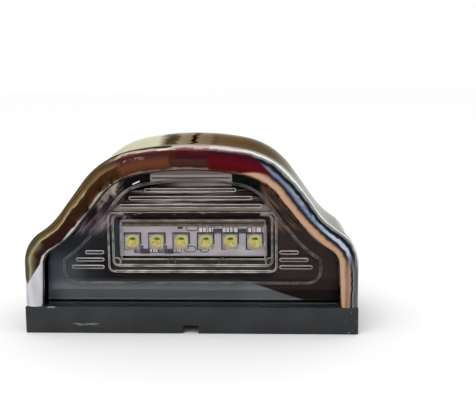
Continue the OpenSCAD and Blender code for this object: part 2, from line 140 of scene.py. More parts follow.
def add(tree, kind, inputs=(), stops=(), pick=0, **settings):
    """Adds a node with its settings and links, and returns the output that pick names or numbers, or with
    None all its outputs. inputs maps a socket's name or number to a value or to an output, and stops
    gives the (position, hex colour) pairs of a node that has a colour ramp."""
    node = tree.nodes.new(kind)
    for name, value in settings.items():
        setattr(node, name, value)
    for key, value in dict(inputs).items():
        if isinstance(value, bpy.types.NodeSocket):
            tree.links.new(value, node.inputs[key])
        else:
            node.inputs[key].default_value = value
    for number, (place, code) in enumerate(stops):
        elements = node.color_ramp.elements
        spot = elements[number] if number < len(elements) else elements.new(1.0)
        spot.position, spot.color = place, rgba(code)
    return node.outputs if pick is None else node.outputs[pick]


def inside(tree, *limits):
    """Share from 0 to 1 by which a point lies inside all the limits. Each one is (value, low, high): 0 at
    low, 1 at high, where high may be the lower of the two."""
    share = 1.0
    for value, low, high in limits:
        edge = add(tree, RANGE, {0: value, 1: low, 2: high}, interpolation_type="SMOOTHSTEP")
        share = add(tree, MATH, {0: share, 1: edge}, operation="MULTIPLY")
    return share


def layered(tree, under, *layers):
    """Lays colours over one another, each as (colour, limits...) with the limits of inside. A colour is an
    output, a linear colour or a hex code."""
    colour = rgba(under) if isinstance(under, str) else under
    for over, *limits in layers:
        over = rgba(over) if isinstance(over, str) else over
        colour = add(tree, MIX, {0: inside(tree, *limits), 6: colour, 7: over}, data_type="RGBA", pick=2)
    return colour


def new_material(name, **settings):
    """A material with one Principled shader; settings are uniform values or linked later."""
    material = bpy.data.materials.new(name)
    material.use_nodes = True
    shader = material.node_tree.nodes["Principled BSDF"]
    for key, value in settings.items():
        shader.inputs[key.replace("_", " ")].default_value = value
    return material, material.node_tree, shader


def millimetres(tree):
    """Object coordinates in millimetres, with depth measured back from the base's front, whole and as
    x, y and z."""
    place = add(tree, "ShaderNodeTexCoord", pick="Object")
    place = add(tree, "ShaderNodeMapping", {0: place, "Scale": (1 / MM,) * 3, "Location": (0, -FRONT, 0)})
    return place, *add(tree, "ShaderNodeSeparateXYZ", {0: place}, pick=None)


def cloud(tree, place, size, detail=2.0, lean=0.0):
    """Soft noise from 0 to 1 with blots of that size in millimetres along x, y and z, leaning by an angle
    in degrees in the plane of the lens."""
    along = add(tree, "ShaderNodeMapping",
                {0: place, "Rotation": (0, math.radians(lean), 0), "Scale": size}, vector_type="TEXTURE")
    return add(tree, NOISE, {"Vector": along, "Scale": 1.0, "Detail": detail})


def finish_mesh(name, mesh, material, replaced=(), smooth=35):
    """Makes an object at the origin from a mesh, shades it, and hands it to the frame."""
    work = bmesh.new()
    work.from_mesh(mesh)
    bmesh.ops.remove_doubles(work, verts=work.verts, dist=MERGE)
    bmesh.ops.dissolve_degenerate(work, edges=work.edges, dist=NO_LENGTH)
    bmesh.ops.recalc_face_normals(work, faces=work.faces)
    work.to_mesh(mesh)
    work.free()
    for polygon in mesh.polygons:
        polygon.use_smooth = True
    mesh.set_sharp_from_angle(angle=math.radians(smooth))
    mesh.name = name
    thing = bpy.data.objects.new(name, mesh)
    bpy.context.scene.collection.objects.link(thing)
    if material:
        mesh.materials.clear()
        mesh.materials.append(material)
    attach(thing, "root")
    if replaced:
        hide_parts(*replaced)
    return thing


def mesh_from(points, edges=(), faces=()):
    """A mesh from points in millimetres, whose depth is measured back from the base's front."""
    mesh = bpy.data.meshes.new("outline")
    mesh.from_pydata([(x * MM, (y + FRONT) * MM, z * MM) for x, y, z in points], edges, faces)
    return mesh


def grow(name, mesh, tree, values):
    """Runs a Geometry Nodes tree over a mesh and returns its result as a plain mesh."""
    carrier = bpy.data.objects.new(name, mesh)
    bpy.context.scene.collection.objects.link(carrier)
    modifier = carrier.modifiers.new(name, "NODES")
    modifier.node_group = tree
    for item in tree.interface.items_tree:
        if item.item_type == "SOCKET" and item.in_out == "INPUT" and item.name in values:
            modifier[item.identifier] = values[item.name]
    shown = carrier.evaluated_get(bpy.context.evaluated_depsgraph_get())
    result = bpy.data.meshes.new_from_object(shown)
    carrier.modifiers.remove(modifier)
    bpy.data.objects.remove(carrier)
    if not result.polygons:
        raise RuntimeError(f"{name}: the node tree made no faces")
    return result


def new_tree(name, sockets):
    """A Geometry Nodes tree with named inputs, and what its group input gives."""
    tree = bpy.data.node_groups.new(name, "GeometryNodeTree")
    tree.interface.new_socket("Geometry", in_out="INPUT", socket_type="NodeSocketGeometry")
    for label, kind in sockets:
        tree.interface.new_socket(label, in_out="INPUT", socket_type="NodeSocket" + kind)
    tree.interface.new_socket("Geometry", in_out="OUTPUT", socket_type="NodeSocketGeometry")
    return tree, add(tree, "NodeGroupInput", pick=None)


# The bell

HALF_WIDTH = of_frame("hood", 1, "x")
BASE_TOP = of_frame("hood", 0, "z")
RIM_TOP = of_frame("hood", 1, "z") - CREST_RISE
# The bell's arcs, with their end angles in degrees and the steps that draw them
Arc = namedtuple("Arc", "radius start end steps")
TOP = Arc(100.0, 0.0, 10.4, 14)
SHOULDER = Arc(27.0, 10.4, 53.0, 18)
SWEEP = Arc(25.0, 53.0, 32.0, 14)
FOOT = Arc(12.2, 32.0, 90.0, 16)
# Below the foot the bell runs straight down to the base
FOOT_STEPS = 5
# Points nearer than this count as one
SAME_SPOT = 0.01
# An arc never gets smaller than this
LEAST_ROUND = 0.05
# Share of the rim's width at the feet and at the top
RIM_SHARES = (0.85, 1.15)
# Degrees at which a small quarter round has its points
QUARTER = range(0, 91, 15)


def way(angle):
    """Sine and cosine of an angle in degrees."""
    return math.sin(math.radians(angle)), math.cos(math.radians(angle))


def evenly(start, end, steps):
    """Places from start to end in even steps, both ends with them."""
    return [start + (end - start) * i / steps for i in range(steps + 1)]


def bell_half(inset):
    """Right half of the bell: points (x, z, slope angle) from the middle of the top to the foot."""
    points = []

    def draw(centre, radius, arc):
        for i in range(arc.steps + 1):
            angle = arc.start + (arc.end - arc.start) * i / arc.steps
            s, c = way(angle)
            point = (centre[0] + radius * s, centre[1] + radius * c, angle)
            if not points or math.dist(point[:2], points[-1][:2]) > SAME_SPOT:
                points.append(point)

    # The straight flank takes up the width that the arcs leave
    flank = HALF_WIDTH - TOP.radius * way(TOP.end)[0]
    flank -= SHOULDER.radius * (way(SHOULDER.end)[0] - way(SHOULDER.start)[0])
    flank -= SWEEP.radius * (way(SWEEP.start)[0] - way(SWEEP.end)[0])
    flank -= FOOT.radius * (1 - way(FOOT.start)[0])
    s, c = way(SHOULDER.end)
    run = flank / c
    # Each arc's middle, from the top down: an arc that bends the other way has a negative radius
    top = (0.0, RIM_TOP - TOP.radius)
    reach = TOP.radius - SHOULDER.radius
    shoulder = (top[0] + reach * way(TOP.end)[0], top[1] + reach * way(TOP.end)[1])
    reach = SHOULDER.radius + SWEEP.radius
    sweep = (shoulder[0] + reach * s + run * c, shoulder[1] + reach * c - run * s)
    reach = SWEEP.radius + FOOT.radius
    foot = (sweep[0] - reach * way(SWEEP.end)[0], sweep[1] - reach * way(SWEEP.end)[1])
    draw(top, TOP.radius - inset, TOP)
    draw(shoulder, SHOULDER.radius - inset, SHOULDER)
    draw(sweep, -SWEEP.radius - inset, SWEEP)
    draw(foot, max(FOOT.radius - inset, LEAST_ROUND), FOOT)
    return points


def bell_path():
    """The whole bell from the left foot to the right: (x, z, way in as x and z)."""
    half = bell_half(0.0)
    half += [(HALF_WIDTH, z, 90.0) for z in evenly(half[-1][1], BASE_TOP, FOOT_STEPS)[1:]]
    right = [(x, z, -way(a)[0], -way(a)[1]) for x, z, a in half]
    left = [(-x, z, -u, w) for x, z, u, w in reversed(right[1:])]
    return left + right


def bell_loop(inset, floor_z, corner):
    """The bell as a closed outline with rounded lower corners, as (x, z)."""
    half = [(x, z) for x, z, _ in bell_half(inset)]
    middle = (HALF_WIDTH - inset - corner, floor_z + corner)
    half += [(middle[0] + corner * way(a)[1], middle[1] - corner * way(a)[0]) for a in QUARTER]
    return half + [(-x, z) for x, z in reversed(half[1:])]


# Materials

# Painted reflections that the rolled rim shows from its outer edge to its inner one, as stops along its
# section: the outer round runs from 0.21 to 0.40, the flat face to 0.58 and the inner round to 0.74
RIM_FOOT = [(0.0, "#2a281e"), (0.23, "#2e2c20"), (0.28, "#3c3829"), (0.31, "#5c553e"), (0.35, "#484230"),
            (0.385, "#6c654c"), (0.42, "#9d9578"), (0.45, "#6e6749"), (0.50, "#514a38"),
            (0.56, "#3a362a"), (0.64, "#36322a"), (0.67, "#908c84"), (0.70, "#c4c2be"),
            (0.73, "#a5a5ae"), (0.76, "#3c3c5c"), (0.82, "#2c2e48"), (0.9, "#5a5a74"), (1.0, "#2a2c40")]
RIM_FLANK = [(0.0, "#3a3020"), (0.22, "#352d20"), (0.27, "#53462f"), (0.31, "#6f5e3d"),
             (0.335, "#3f321f"), (0.37, "#675737"), (0.40, "#7e6c49"), (0.42, "#c2b08c"),
             (0.44, "#3a2614"), (0.50, "#29170d"), (0.57, "#30191a"), (0.61, "#281511"),
             (0.625, "#4a4038"), (0.645, "#d6d2cc"), (0.70, "#e6e4e0"), (0.75, "#3a3430"),
             (1.0, "#1b1718")]
RIM_SHOULDER = [(0.0, "#2a2216"), (0.225, "#2b2217"), (0.28, "#65543a"), (0.335, "#4c3b27"),
                (0.38, "#614d35"), (0.42, "#82694a"), (0.445, "#402815"), (0.50, "#32200f"),
                (0.57, "#392212"), (0.615, "#4e331e"), (0.64, "#3a281c"), (0.66, "#a3988a"),
                (0.72, "#8d8272"), (0.76, "#3a322d"), (1.0, "#221b1b")]
RIM_AMBER = [(0.0, "#2c2718"), (0.245, "#352c1c"), (0.275, "#5a4a3a"), (0.295, "#d8ccb8"),
             (0.315, "#a89682"), (0.335, "#3a2426"), (0.385, "#482226"), (0.43, "#52282a"),
             (0.455, "#5a3728"), (0.52, "#623824"), (0.575, "#5a3524"), (0.625, "#482b1e"),
             (0.66, "#8c7468"), (0.70, "#aa988c"), (0.74, "#5a4a44"), (1.0, "#1c1618")]
RIM_CROWN = [(0.0, "#3b3025"), (0.205, "#7d6c5c"), (0.25, "#cbb8ac"), (0.29, "#d3c2b6"),
             (0.32, "#5a3c3a"), (0.36, "#481a20"), (0.42, "#3c141a"), (0.465, "#3a181a"),
             (0.50, "#432823"), (0.575, "#3d251f"), (0.605, "#2f1a17"), (0.63, "#8a6a60"),
             (0.70, "#a08076"), (0.742, "#7a5c54"), (1.0, "#3a2f2c")]
RIM_RED = [(0.0, "#4c4030"), (0.205, "#a39486"), (0.24, "#e0d6ce"), (0.29, "#e6ded8"),
           (0.325, "#6a5150"), (0.36, "#33151d"), (0.41, "#48101c"), (0.48, "#560f19"),
           (0.60, "#4c0d12"), (0.645, "#451210"), (0.675, "#8a5a4a"), (0.72, "#b08a74"),
           (0.76, "#5a4239"), (1.0, "#3a2822")]
RIM_STEEL = [(0.0, "#5f635f"), (0.19, "#777b78"), (0.235, "#a5a8a2"), (0.25, "#f0f0ea"),
             (0.275, "#f4f3ec"), (0.29, "#6f7370"), (0.32, "#8d918f"), (0.345, "#20242a"),
             (0.385, "#14171d"), (0.405, "#4a5060"), (0.43, "#7f899d"), (0.455, "#6e788d"),
             (0.475, "#3a4258"), (0.495, "#1e2026"), (0.515, "#3a3430"), (0.535, "#8a705e"),
             (0.565, "#b8917a"), (0.62, "#c09b82"), (0.655, "#ab8671"), (0.67, "#b8937c"),
             (0.69, "#e9d0c0"), (0.735, "#d6bcac"), (0.755, "#2f2422"), (1.0, "#1c1616")]
RIM_END = [(0.0, "#4c4e4c"), (0.23, "#5c5e5c"), (0.26, "#94958f"), (0.29, "#5e5e5c"), (0.36, "#555553"),
           (0.395, "#7d7d7a"), (0.405, "#26262a"), (0.43, "#1c1c20"), (0.45, "#7c6657"),
           (0.47, "#9c7f6b"), (0.60, "#957862"), (0.645, "#8a6d5a"), (0.66, "#e2cabb"),
           (0.72, "#d8bfb0"), (0.755, "#2f2422"), (1.0, "#1c1616")]
# Painted reflections on the skin behind the rim, from the left to the right, as stops along the lamp's
# width
SKIN = [(0.0, "#8a826c"), (0.14, "#6b604a"), (0.24, "#a8a284"), (0.30, "#cdc9aa"), (0.388, "#d3ceb0"),
        (0.40, "#8f866c"), (0.412, "#453c2e"), (0.437, "#4a3f30"), (0.45, "#8b7d66"), (0.478, "#7a6c56"),
        (0.484, "#2c2218"), (0.494, "#35291e"), (0.502, "#7f6d58"), (0.535, "#746250"),
        (0.545, "#5a4634"), (0.56, "#64503e"), (0.62, "#604b38"), (0.70, "#534434"), (0.76, "#564a38"),
        (0.80, "#7d7c72"), (0.9, "#888a82"), (1.0, "#6d6f6c")]
# Painted reflection of a plain room, from below to above, on the sides and the back that the photograph
# doesn't show
ROOM = [(0.0, "#3c3c3e"), (0.42, "#5a5b5e"), (0.47, "#a3a3a2"), (0.505, "#8b8b8a"), (0.525, "#343537"),
        (0.545, "#3d3e40"), (0.56, "#8f8f8e"), (0.60, "#bdbcb8"), (0.66, "#d2d0ca"), (0.74, "#a9a7a1"),
        (0.765, "#5c5a56"), (0.79, "#7c7972"), (0.81, "#cfccc2"), (0.92, "#dedbd0"), (1.0, "#c3bfb2")]


def pale_foot_reflection(tree, place, x, z, across):
    """Painted reflection on the rim's left foot, cut off above by a notch whose point is 1.3 mm from the
    outer edge.
    """
    notch = add(tree, MATH, {0: across, 1: 0.345}, operation="SUBTRACT")
    rise_in = add(tree, MATH, {0: notch, 1: 25.0}, operation="MULTIPLY")
    rise_out = add(tree, MATH, {0: notch, 1: -27.0}, operation="MULTIPLY")
    slant = add(tree, MATH, {0: rise_in, 1: rise_out}, operation="MAXIMUM")
    above = add(tree, MATH, {0: z, 1: slant}, operation="SUBTRACT")
    blots = cloud(tree, place, (2.5, 2.5, 6.7))
    pale = add(tree, RAMP, {0: blots}, [(0.35, "#b4b4ba"), (0.65, "#cccbd0")])
    return pale, (above, 16.9, 16.3), (x, -44, -46), (across, 0.745, 0.735), (across, 0.1, 0.2)


def rim_bands(tree, place, x, z, across, wave):
    """Painted reflections: bands that the rolled rim mirrors along its length, each with blots where the
    photograph has them."""
    # Slow waves and short ones of 2 mm make each band waver, as from a mould that was polished by hand
    slow = add(tree, RANGE, {0: wave, 1: 0.3, 2: 0.7, 3: -0.022, 4: 0.022})
    short = add(tree, RANGE, {0: cloud(tree, place, (2, 2, 2)), 1: 0.3, 2: 0.7, 3: -0.008, 4: 0.008})
    band = add(tree, MATH, {0: across, 1: slow}, operation="ADD")
    band = add(tree, MATH, {0: band, 1: short}, operation="ADD")
    foot, flank, shoulder, amber, crown, red, steel, end = (
        add(tree, RAMP, {0: band}, stops)
        for stops in (RIM_FOOT, RIM_FLANK, RIM_SHOULDER, RIM_AMBER, RIM_CROWN, RIM_RED, RIM_STEEL,
                      RIM_END))
    drift = add(tree, RANGE, {0: wave, 1: 0.3, 2: 0.7, 3: -4.0, 4: 4.0})
    wander = add(tree, MATH, {0: x, 1: drift}, operation="ADD")
    # The tan band starts at the inner edge, 18 mm right of the middle, and the blue one at the outer edge
    tan_start = add(tree, MATH, {0: across, 1: -55.0, 2: 53.0}, operation="MULTIPLY_ADD")
    blue_start = add(tree, MATH, {0: across, 1: 40.0, 2: 8.0}, operation="MULTIPLY_ADD")
    start = add(tree, MATH, {0: tan_start, 1: blue_start}, operation="MINIMUM")
    spread = add(tree, MATH, {0: x, 1: start}, operation="SUBTRACT")
    # Blots in the painted reflections, among them cream ones on the inner round of the left shoulder
    reflection_blots = cloud(tree, place, (2, 2, 2.9), 3.0)
    # Each layer below is painted reflection: blots in cream, pink and dark brown on the left, a painted
    # white highlight on the upper right, tan and grey streaks, a pale blue glint, the right foot's bands
    # and the pale left foot
    return layered(
        tree, foot, (flank, (wander, -51, -47)), (shoulder, (wander, -38, -32)),
        (amber, (wander, -28, -23)), (crown, (wander, -6, -3.5)), (red, (wander, 5.5, 8)),
        (steel, (spread, -1.2, 1.2)),
        ("#bcb09c", (x, -34, -32), (x, -21, -23), (band, 0.61, 0.66), (reflection_blots, 0.40, 0.50)),
        ("#93665c", (x, -23, -21), (x, -12, -17), (band, 0.39, 0.41), (band, 0.46, 0.44),
         (reflection_blots, 0.44, 0.52)),
        ("#26180e", (x, -37, -33), (x, -20, -24), (band, 0.52, 0.58), (band, 0.67, 0.64),
         (reflection_blots, 0.52, 0.46)),
        ("#f2eee8", (x, 15, 21), (x, 38, 32), (band, 0.22, 0.24), (band, 0.305, 0.28)),
        ("#6b5244", (x, 20, 25), (x, 41, 36), (band, 0.625, 0.66), (reflection_blots, 0.46, 0.56)),
        ("#8f99a8", (x, 30, 36), (x, 46, 43), (band, 0.385, 0.405), (band, 0.455, 0.435),
         (reflection_blots, 0.42, 0.52)),
        ("#b3c0cf", (x, 41, 46), (z, 25, 28), (band, 0.40, 0.42), (band, 0.475, 0.46)),
        (end, (x, 50, 52), (z, 27, 21)),
        pale_foot_reflection(tree, place, x, z, across))


def skin_reflections(tree, place, x):
    """Painted reflections on the skin behind the rim: streaks from front to back, 2 mm to 8 mm wide and
    with ragged sides.
    """
    streak = cloud(tree, place, (6.7, 2.2, 6.7), 3.0)
    ragged = add(tree, MATH, {0: streak, 1: 4.0, 2: x}, operation="MULTIPLY_ADD")
    share = add(tree, RANGE, {0: ragged, 1: -56.0, 2: 64.0})
    return add(tree, RAMP, {0: share}, SKIN)


def plain_room(tree):
    """Painted reflection on the sides and the back of the hood: a plain room that they mirror, by how far
    each spot faces up.
    """
    facing = add(tree, "ShaderNodeTexCoord", pick="Normal")
    facing = add(tree, "ShaderNodeSeparateXYZ", {0: facing}, pick="Z")
    level = add(tree, RANGE, {0: facing, 1: -1.0, 2: 1.0})
    return add(tree, RAMP, {0: level}, ROOM)


def chrome_plated_abs():
    """Chrome-plated ABS, plated over a moulded shell: a bright mirror skin whose colour carries painted
    reflections, warm streaks on the left, a dark red face on top, and tan and steel-blue bands on the
    right."""
    name = "chrome-plated ABS, moulded and polished"
    material, tree, shader = new_material(name, Metallic=1.0, Roughness=0.14)
    place, x, y, z = millimetres(tree)
    across = add(tree, ATTRIBUTE, attribute_name="across", pick="Fac")
    # Slow waves 9 mm long, which move what the plate mirrors
    wave = add(tree, NOISE, {"Vector": place, "Scale": 0.11, "Detail": 2.0})
    back = add(tree, MATH, {0: wave, 1: 16.0, 2: y}, operation="MULTIPLY_ADD")
    # The base colour holds painted reflections: the skin's streaks, the room on the back and the rim's
    # bands
    colour = layered(tree, skin_reflections(tree, place, x), (plain_room(tree), (back, 37, 41)),
                     (rim_bands(tree, place, x, z, across, wave), (across, -0.05, -0.01)),
                     ("#77787a", (across, 1.05, 1.5)))
    tree.links.new(colour, shader.inputs["Base Color"])
    # Seen along its skin the plate keeps about the same tone, as it mirrors the same dim wall there
    edge = add(tree, "ShaderNodeGamma", {0: colour, 1: 0.28})
    tree.links.new(edge, shader.inputs["Specular Tint"])
    # Fine ripple of the moulding under the plate, 3 mm long and hardly felt
    ripple = cloud(tree, place, (3, 3, 3), 1.0)
    bump = add(tree, "ShaderNodeBump", {"Height": ripple, "Strength": 0.2, "Distance": 0.2 * MM})
    tree.links.new(bump, shader.inputs["Normal"])
    return material


def clear_polycarbonate(name, lines=(), strength=0.0, glow=0.0, crest=0.0, *marks):
    """Clear polycarbonate, injection moulded: seen straight through and bright where it turns away. With
    lines, pale lines are painted as highlights along the sides of each bead, for the light that runs
    inside the moulding and leaves it there, in the two colours that lines gives. crest is their share on
    the beads' tops, and marks are layers over them, as in moulded_black."""
    material, tree, shader = new_material(name, Roughness=0.3)
    output = tree.nodes["Material Output"]
    turn = add(tree, "ShaderNodeFresnel", {"IOR": 1.3})
    # Nothing is mirrored straight on, so that the dark inside stays dark
    gain = add(tree, MATH, {0: turn, 1: 1.8, 2: -0.035}, operation="MULTIPLY_ADD", use_clamp=True)
    through = add(tree, "ShaderNodeBsdfTransparent", {"Color": (1, 1, 1, 1)})
    shine = add(tree, "ShaderNodeBsdfGlossy", {"Color": (0.8, 0.79, 0.78, 1), "Roughness": 0.05})
    mixed = add(tree, "ShaderNodeMixShader", {0: gain, 1: through, 2: shine})
    if lines:
        place, x, y, z = millimetres(tree)
        ridge = add(tree, ATTRIBUTE, attribute_name="ridge", pick="Fac")
        blots = cloud(tree, place, (4.5, 4.5, 2), 3.0)
        tone = add(tree, RAMP, {0: blots}, [(0.35, lines[0]), (0.62, lines[1])])
        tone = layered(tree, tone, *[mark(tree, place, x, y, z) for mark in marks])
        tree.links.new(tone, shader.inputs["Base Color"])
        # The painted lines also glow, as some of that light comes from deep inside, where the room's light
        # doesn't reach
        tree.links.new(tone, shader.inputs["Emission Color"])
        shader.inputs["Emission Strength"].default_value = glow
        edge = add(tree, RANGE, {0: ridge, 1: 0.86, 2: 0.76, 3: crest, 4: strength})
        mixed = add(tree, "ShaderNodeMixShader", {0: edge, 1: mixed, 2: shader.outputs[0]})
    else:
        tree.nodes.remove(shader)
    tree.links.new(mixed, output.inputs["Surface"])
    return material


def dark_run(tree, place, x, y, z):
    """Painted reflection of the dark hood on the upper run of the outer well edge, but for a few glints.
    """
    streaks = cloud(tree, place, (5, 5, 0.9), 3.0)
    return ("#382a22", (x, -23.5, -22.5), (x, 23.5, 22.5), (z, 36.7, 37.0), (z, 39.0, 38.7),
            (streaks, 0.66, 0.60))


def lit_shoulder(tree, place, x, y, z):
    """Painted highlight where the left shoulder of the panel's edge catches the room's light."""
    blots = cloud(tree, place, (3, 3, 3))
    return "#e6dae0", (x, -28, -25), (x, -15, -18), (z, 41, 43), (blots, 0.35, 0.5)


def moulded_black(name, colour, roughness, *marks):
    """Black ABS, injection moulded with a fine spark-eroded grain: an even, slightly grey black. marks are
    functions of the tree and its coordinates that each return a layer over it."""
    material, tree, shader = new_material(name, Roughness=roughness, Specular_IOR_Level=0.35)
    place, x, y, z = millimetres(tree)
    # Blots of 11 mm are half as bright again
    paler = (*[c * 1.5 + 0.002 for c in colour], 1.0)
    worn = layered(tree, (*colour, 1.0), (paler, (cloud(tree, place, (11, 11, 11), 4.0), 0.35, 0.7)))
    # Grain of about 0.4 mm, drawn coarser than the real 0.05 mm so that it shows
    grain = add(tree, NOISE, {"Vector": place, "Scale": 2.5, "Detail": 2.0})
    bump = add(tree, "ShaderNodeBump", {"Height": grain, "Strength": 0.3, "Distance": 0.05 * MM})
    tree.links.new(bump, shader.inputs["Normal"])
    marked = layered(tree, worn, *[mark(tree, place, x, y, z) for mark in marks])
    tree.links.new(marked, shader.inputs["Base Color"])
    return material


def scuffs(tree, place, x, y, z):
    """Thin scratches, a few millimetres long, where the photograph shows them on the left of the front."""
    scratches = cloud(tree, place, (2.9, 1, 0.2), 4.0)
    return ("#8a8c8e", (x, -39.5, -38.5), (x, -30.0, -31.0), (z, 2.6, 2.9), (z, 3.6, 3.3), (y, 2, 1),
            (scratches, 0.47, 0.55))


def specks(tree, place, x, y, z):
    """Pale specks where the right front corner has been knocked."""
    spots = cloud(tree, place, (0.9, 1, 1.1), 3.0)
    return "#7d7f80", (x, 49.5, 50.5), (y, 1.0, 0.5), (spots, 0.62, 0.68)


def edge_glint(tree, place, x, y, z):
    """A painted glint on the upper edge beside the left foot."""
    return "#77797a", (x, -47.8, -47.2), (x, -44.5, -45.5), (z, 8.5, 8.7), (y, 0.9, 0.6)


def housing_black(name, roughness):
    """Black behind the lens, seen through it: its colour carries painted reflections, the grey, brown and
    pale glints that the polished mould and the clear lens mirror."""
    material, tree, shader = new_material(name, Roughness=roughness, Specular_IOR_Level=0.08)
    place, x, y, z = millimetres(tree)
    width = add(tree, MATH, {0: x}, operation="ABSOLUTE")
    # The streaked patch of painted reflection above the window narrows upwards
    reach = add(tree, RANGE, {0: z, 1: 40.0, 2: 52.0, 3: 26.5, 4: 13.0})
    off = add(tree, MATH, {0: width, 1: reach}, operation="SUBTRACT")
    level = cloud(tree, place, (29, 5, 1.3), 3.0)
    middle = add(tree, RANGE, {0: width, 1: 4.0, 2: 17.0, 3: 0.06, 4: -0.09})
    glow = add(tree, MATH, {0: level, 1: middle}, operation="ADD")
    glint = add(tree, RAMP, {0: glow}, [(0.36, "#1b1517"), (0.45, "#4d3f3e"), (0.53, "#978882"),
                                        (0.6, "#d0c6be"), (0.7, "#efe6e0")])
    # Streaks of painted reflection along the arch beside the panel: grey with a touch of plum on the left,
    # brown on the right
    up_right, up_left = (cloud(tree, place, (1.3, 5, 12), 2.0, lean) for lean in (38, -42))
    plum = add(tree, RAMP, {0: up_right}, [(0.36, "#2a2025"), (0.46, "#55323f"), (0.54, "#74606a"),
                                           (0.62, "#bdb0b5")])
    brown = add(tree, RAMP, {0: up_left}, [(0.36, "#33251f"), (0.5, "#5d4438"), (0.6, "#8a6a5c"),
                                           (0.68, "#a88678")])
    diagonal = add(tree, MATH, {0: z, 1: 3.0, 2: x}, operation="MULTIPLY_ADD")
    # Painted reflection of a cream patch beside the rim's left shoulder, where the arch mirrors the hood's
    # lit inside
    slope = add(tree, MATH, {0: x, 1: -0.88, 2: z}, operation="MULTIPLY_ADD")
    blots = cloud(tree, place, (2.2, 5, 2.2))
    ragged = add(tree, MATH, {0: blots, 1: 6.0, 2: slope}, operation="MULTIPLY_ADD")
    # Over the housing's own dark colour every layer is painted reflection or painted highlight: grey on
    # the left, brown on the right, the bands and dark blocks round the top, the streaks along the arch,
    # the cream patches and the grey strip low down
    colour = layered(
        tree, "#231c1e", ("#30353b", (x, -26, -37)), ("#463936", (x, 24, 32)),
        ("#5f666e", (x, -35, -42), (z, 28, 20)),
        (plum, (x, -20, -24), (z, 30, 36)), (brown, (x, 22, 25), (z, 31, 37)),
        (glint, (off, 1.5, -2.0), (z, 41.2, 41.8)),
        ("#a3978a", (off, 1.0, -1.0), (z, 39.3, 39.7), (z, 41.9, 41.4)),
        ("#443c36", (width, 27.5, 26.5), (z, 18.5, 19.0), (z, 22.8, 22.4)),
        ("#3f474f", (x, -24.8, -25.4), (x, -27.6, -27.0), (z, 20.5, 21.5), (z, 36.5, 35.5)),
        ("#e4d6d2", (width, 13.9, 13.5), (z, 49.0, 49.5)),
        ("#625553", (width, 13.6, 12.5), (z, 50.2, 50.4), (z, 50.9, 50.7)),
        ("#a09490", (width, 13.9, 13.5), (z, 51.4, 51.8)),
        ("#131010", (width, 13.4, 13.8), (width, 23.5, 22.0), (z, 45.8, 46.8)),
        ("#d8cfba", (ragged, 70.2, 73.6), (x, -32.5, -30.5), (x, -23.6, -25.2)),
        ("#fff6e4", (ragged, 70.4, 73.4), (x, -27.6, -26.6), (x, -24.4, -25.4)),
        ("#8b9095", (z, 17.0, 12.5)),
        ("#989c9f", (z, 14.5, 13.0), (x, 14.0, 20.0)),
        ("#372d2b", (diagonal, 63.5, 65.0), (z, 17.0, 16.0)))
    tree.links.new(colour, shader.inputs["Base Color"])
    return material


def diode_distance(tree, x, z, pitch, offset=(0.0, 0.0), squash=1.0):
    """Distance in millimetres from the middle of the nearest diode, or from a spot offset from it. Heights
    count squash times."""
    step = add(tree, MATH, {0: x, 1: pitch}, operation="FLOORED_MODULO")
    high = add(tree, MATH, {0: z, 1: squash}, operation="MULTIPLY")
    spot = add(tree, "ShaderNodeCombineXYZ", {0: step, 2: high})
    middle = (pitch / 2 + offset[0], 0.0, (LED_Z + offset[1]) * squash)
    return add(tree, "ShaderNodeVectorMath", {0: spot, 1: middle}, operation="DISTANCE", pick="Value")


def phosphor(colour, pitch):
    """Phosphor in clear silicone: deep yellow, with a painted dark crescent of shade near the top where
    the lens shades it, and a painted glint low on the right."""
    material, tree, shader = new_material("yellow phosphor in silicone", Roughness=0.25)
    place, x, y, z = millimetres(tree)
    away = diode_distance(tree, x, z, pitch, (0.3, 1.15), 2.6)
    glint = diode_distance(tree, x, z, pitch, (0.9, -1.1))
    mixed = layered(tree, (*colour, 1.0), ("#d8c460", (cloud(tree, place, (1.4, 1.4, 1.4)), 0.42, 0.6)),
                    ("#5f581e", (away, 1.25, 0.8)), ("#fbf8e0", (glint, 0.3, 0.2)))
    tree.links.new(mixed, shader.inputs["Base Color"])
    return material


def diode_case(pitch):
    """White resin of the diodes' cases, moulded: greyed at the rim, with the yellow light of the phosphor
    inside painted onto its middle."""
    material, tree, shader = new_material("white resin, moulded", Roughness=0.4)
    place, x, y, z = millimetres(tree)
    away = diode_distance(tree, x, z, pitch, (0.25, 0.35))
    mixed = layered(tree, "#c3baa6", ("#a39a90", (cloud(tree, place, (0.8, 0.8, 0.8)), 0.45, 0.6)),
                    ("#dcd596", (away, 2.45, 2.0)))
    tree.links.new(mixed, shader.inputs["Base Color"])
    return material


def plain(name, code, roughness, metallic=0.0, size=(1.7, 1.7, 1.7), spread=0.15):
    """A single finish with a faint unevenness of about 2 mm."""
    material, tree, shader = new_material(name, Roughness=roughness, Metallic=metallic)
    place = millimetres(tree)[0]
    base = linear(code) if isinstance(code, str) else code
    dim, bright = ((*[min(1.0, c * share) for c in base], 1.0) for share in (1 - spread, 1 + spread))
    uneven = layered(tree, dim, (bright, (cloud(tree, place, size), 0.3, 0.7)))
    tree.links.new(uneven, shader.inputs["Base Color"])
    return material


# Node trees

# Step along a bead, sides of its section, and the share of its width that is left at a round end
BEAD_STEP = 0.3 * MM
BEAD_SIDES = 12
LEAST_SHARE = 0.0001


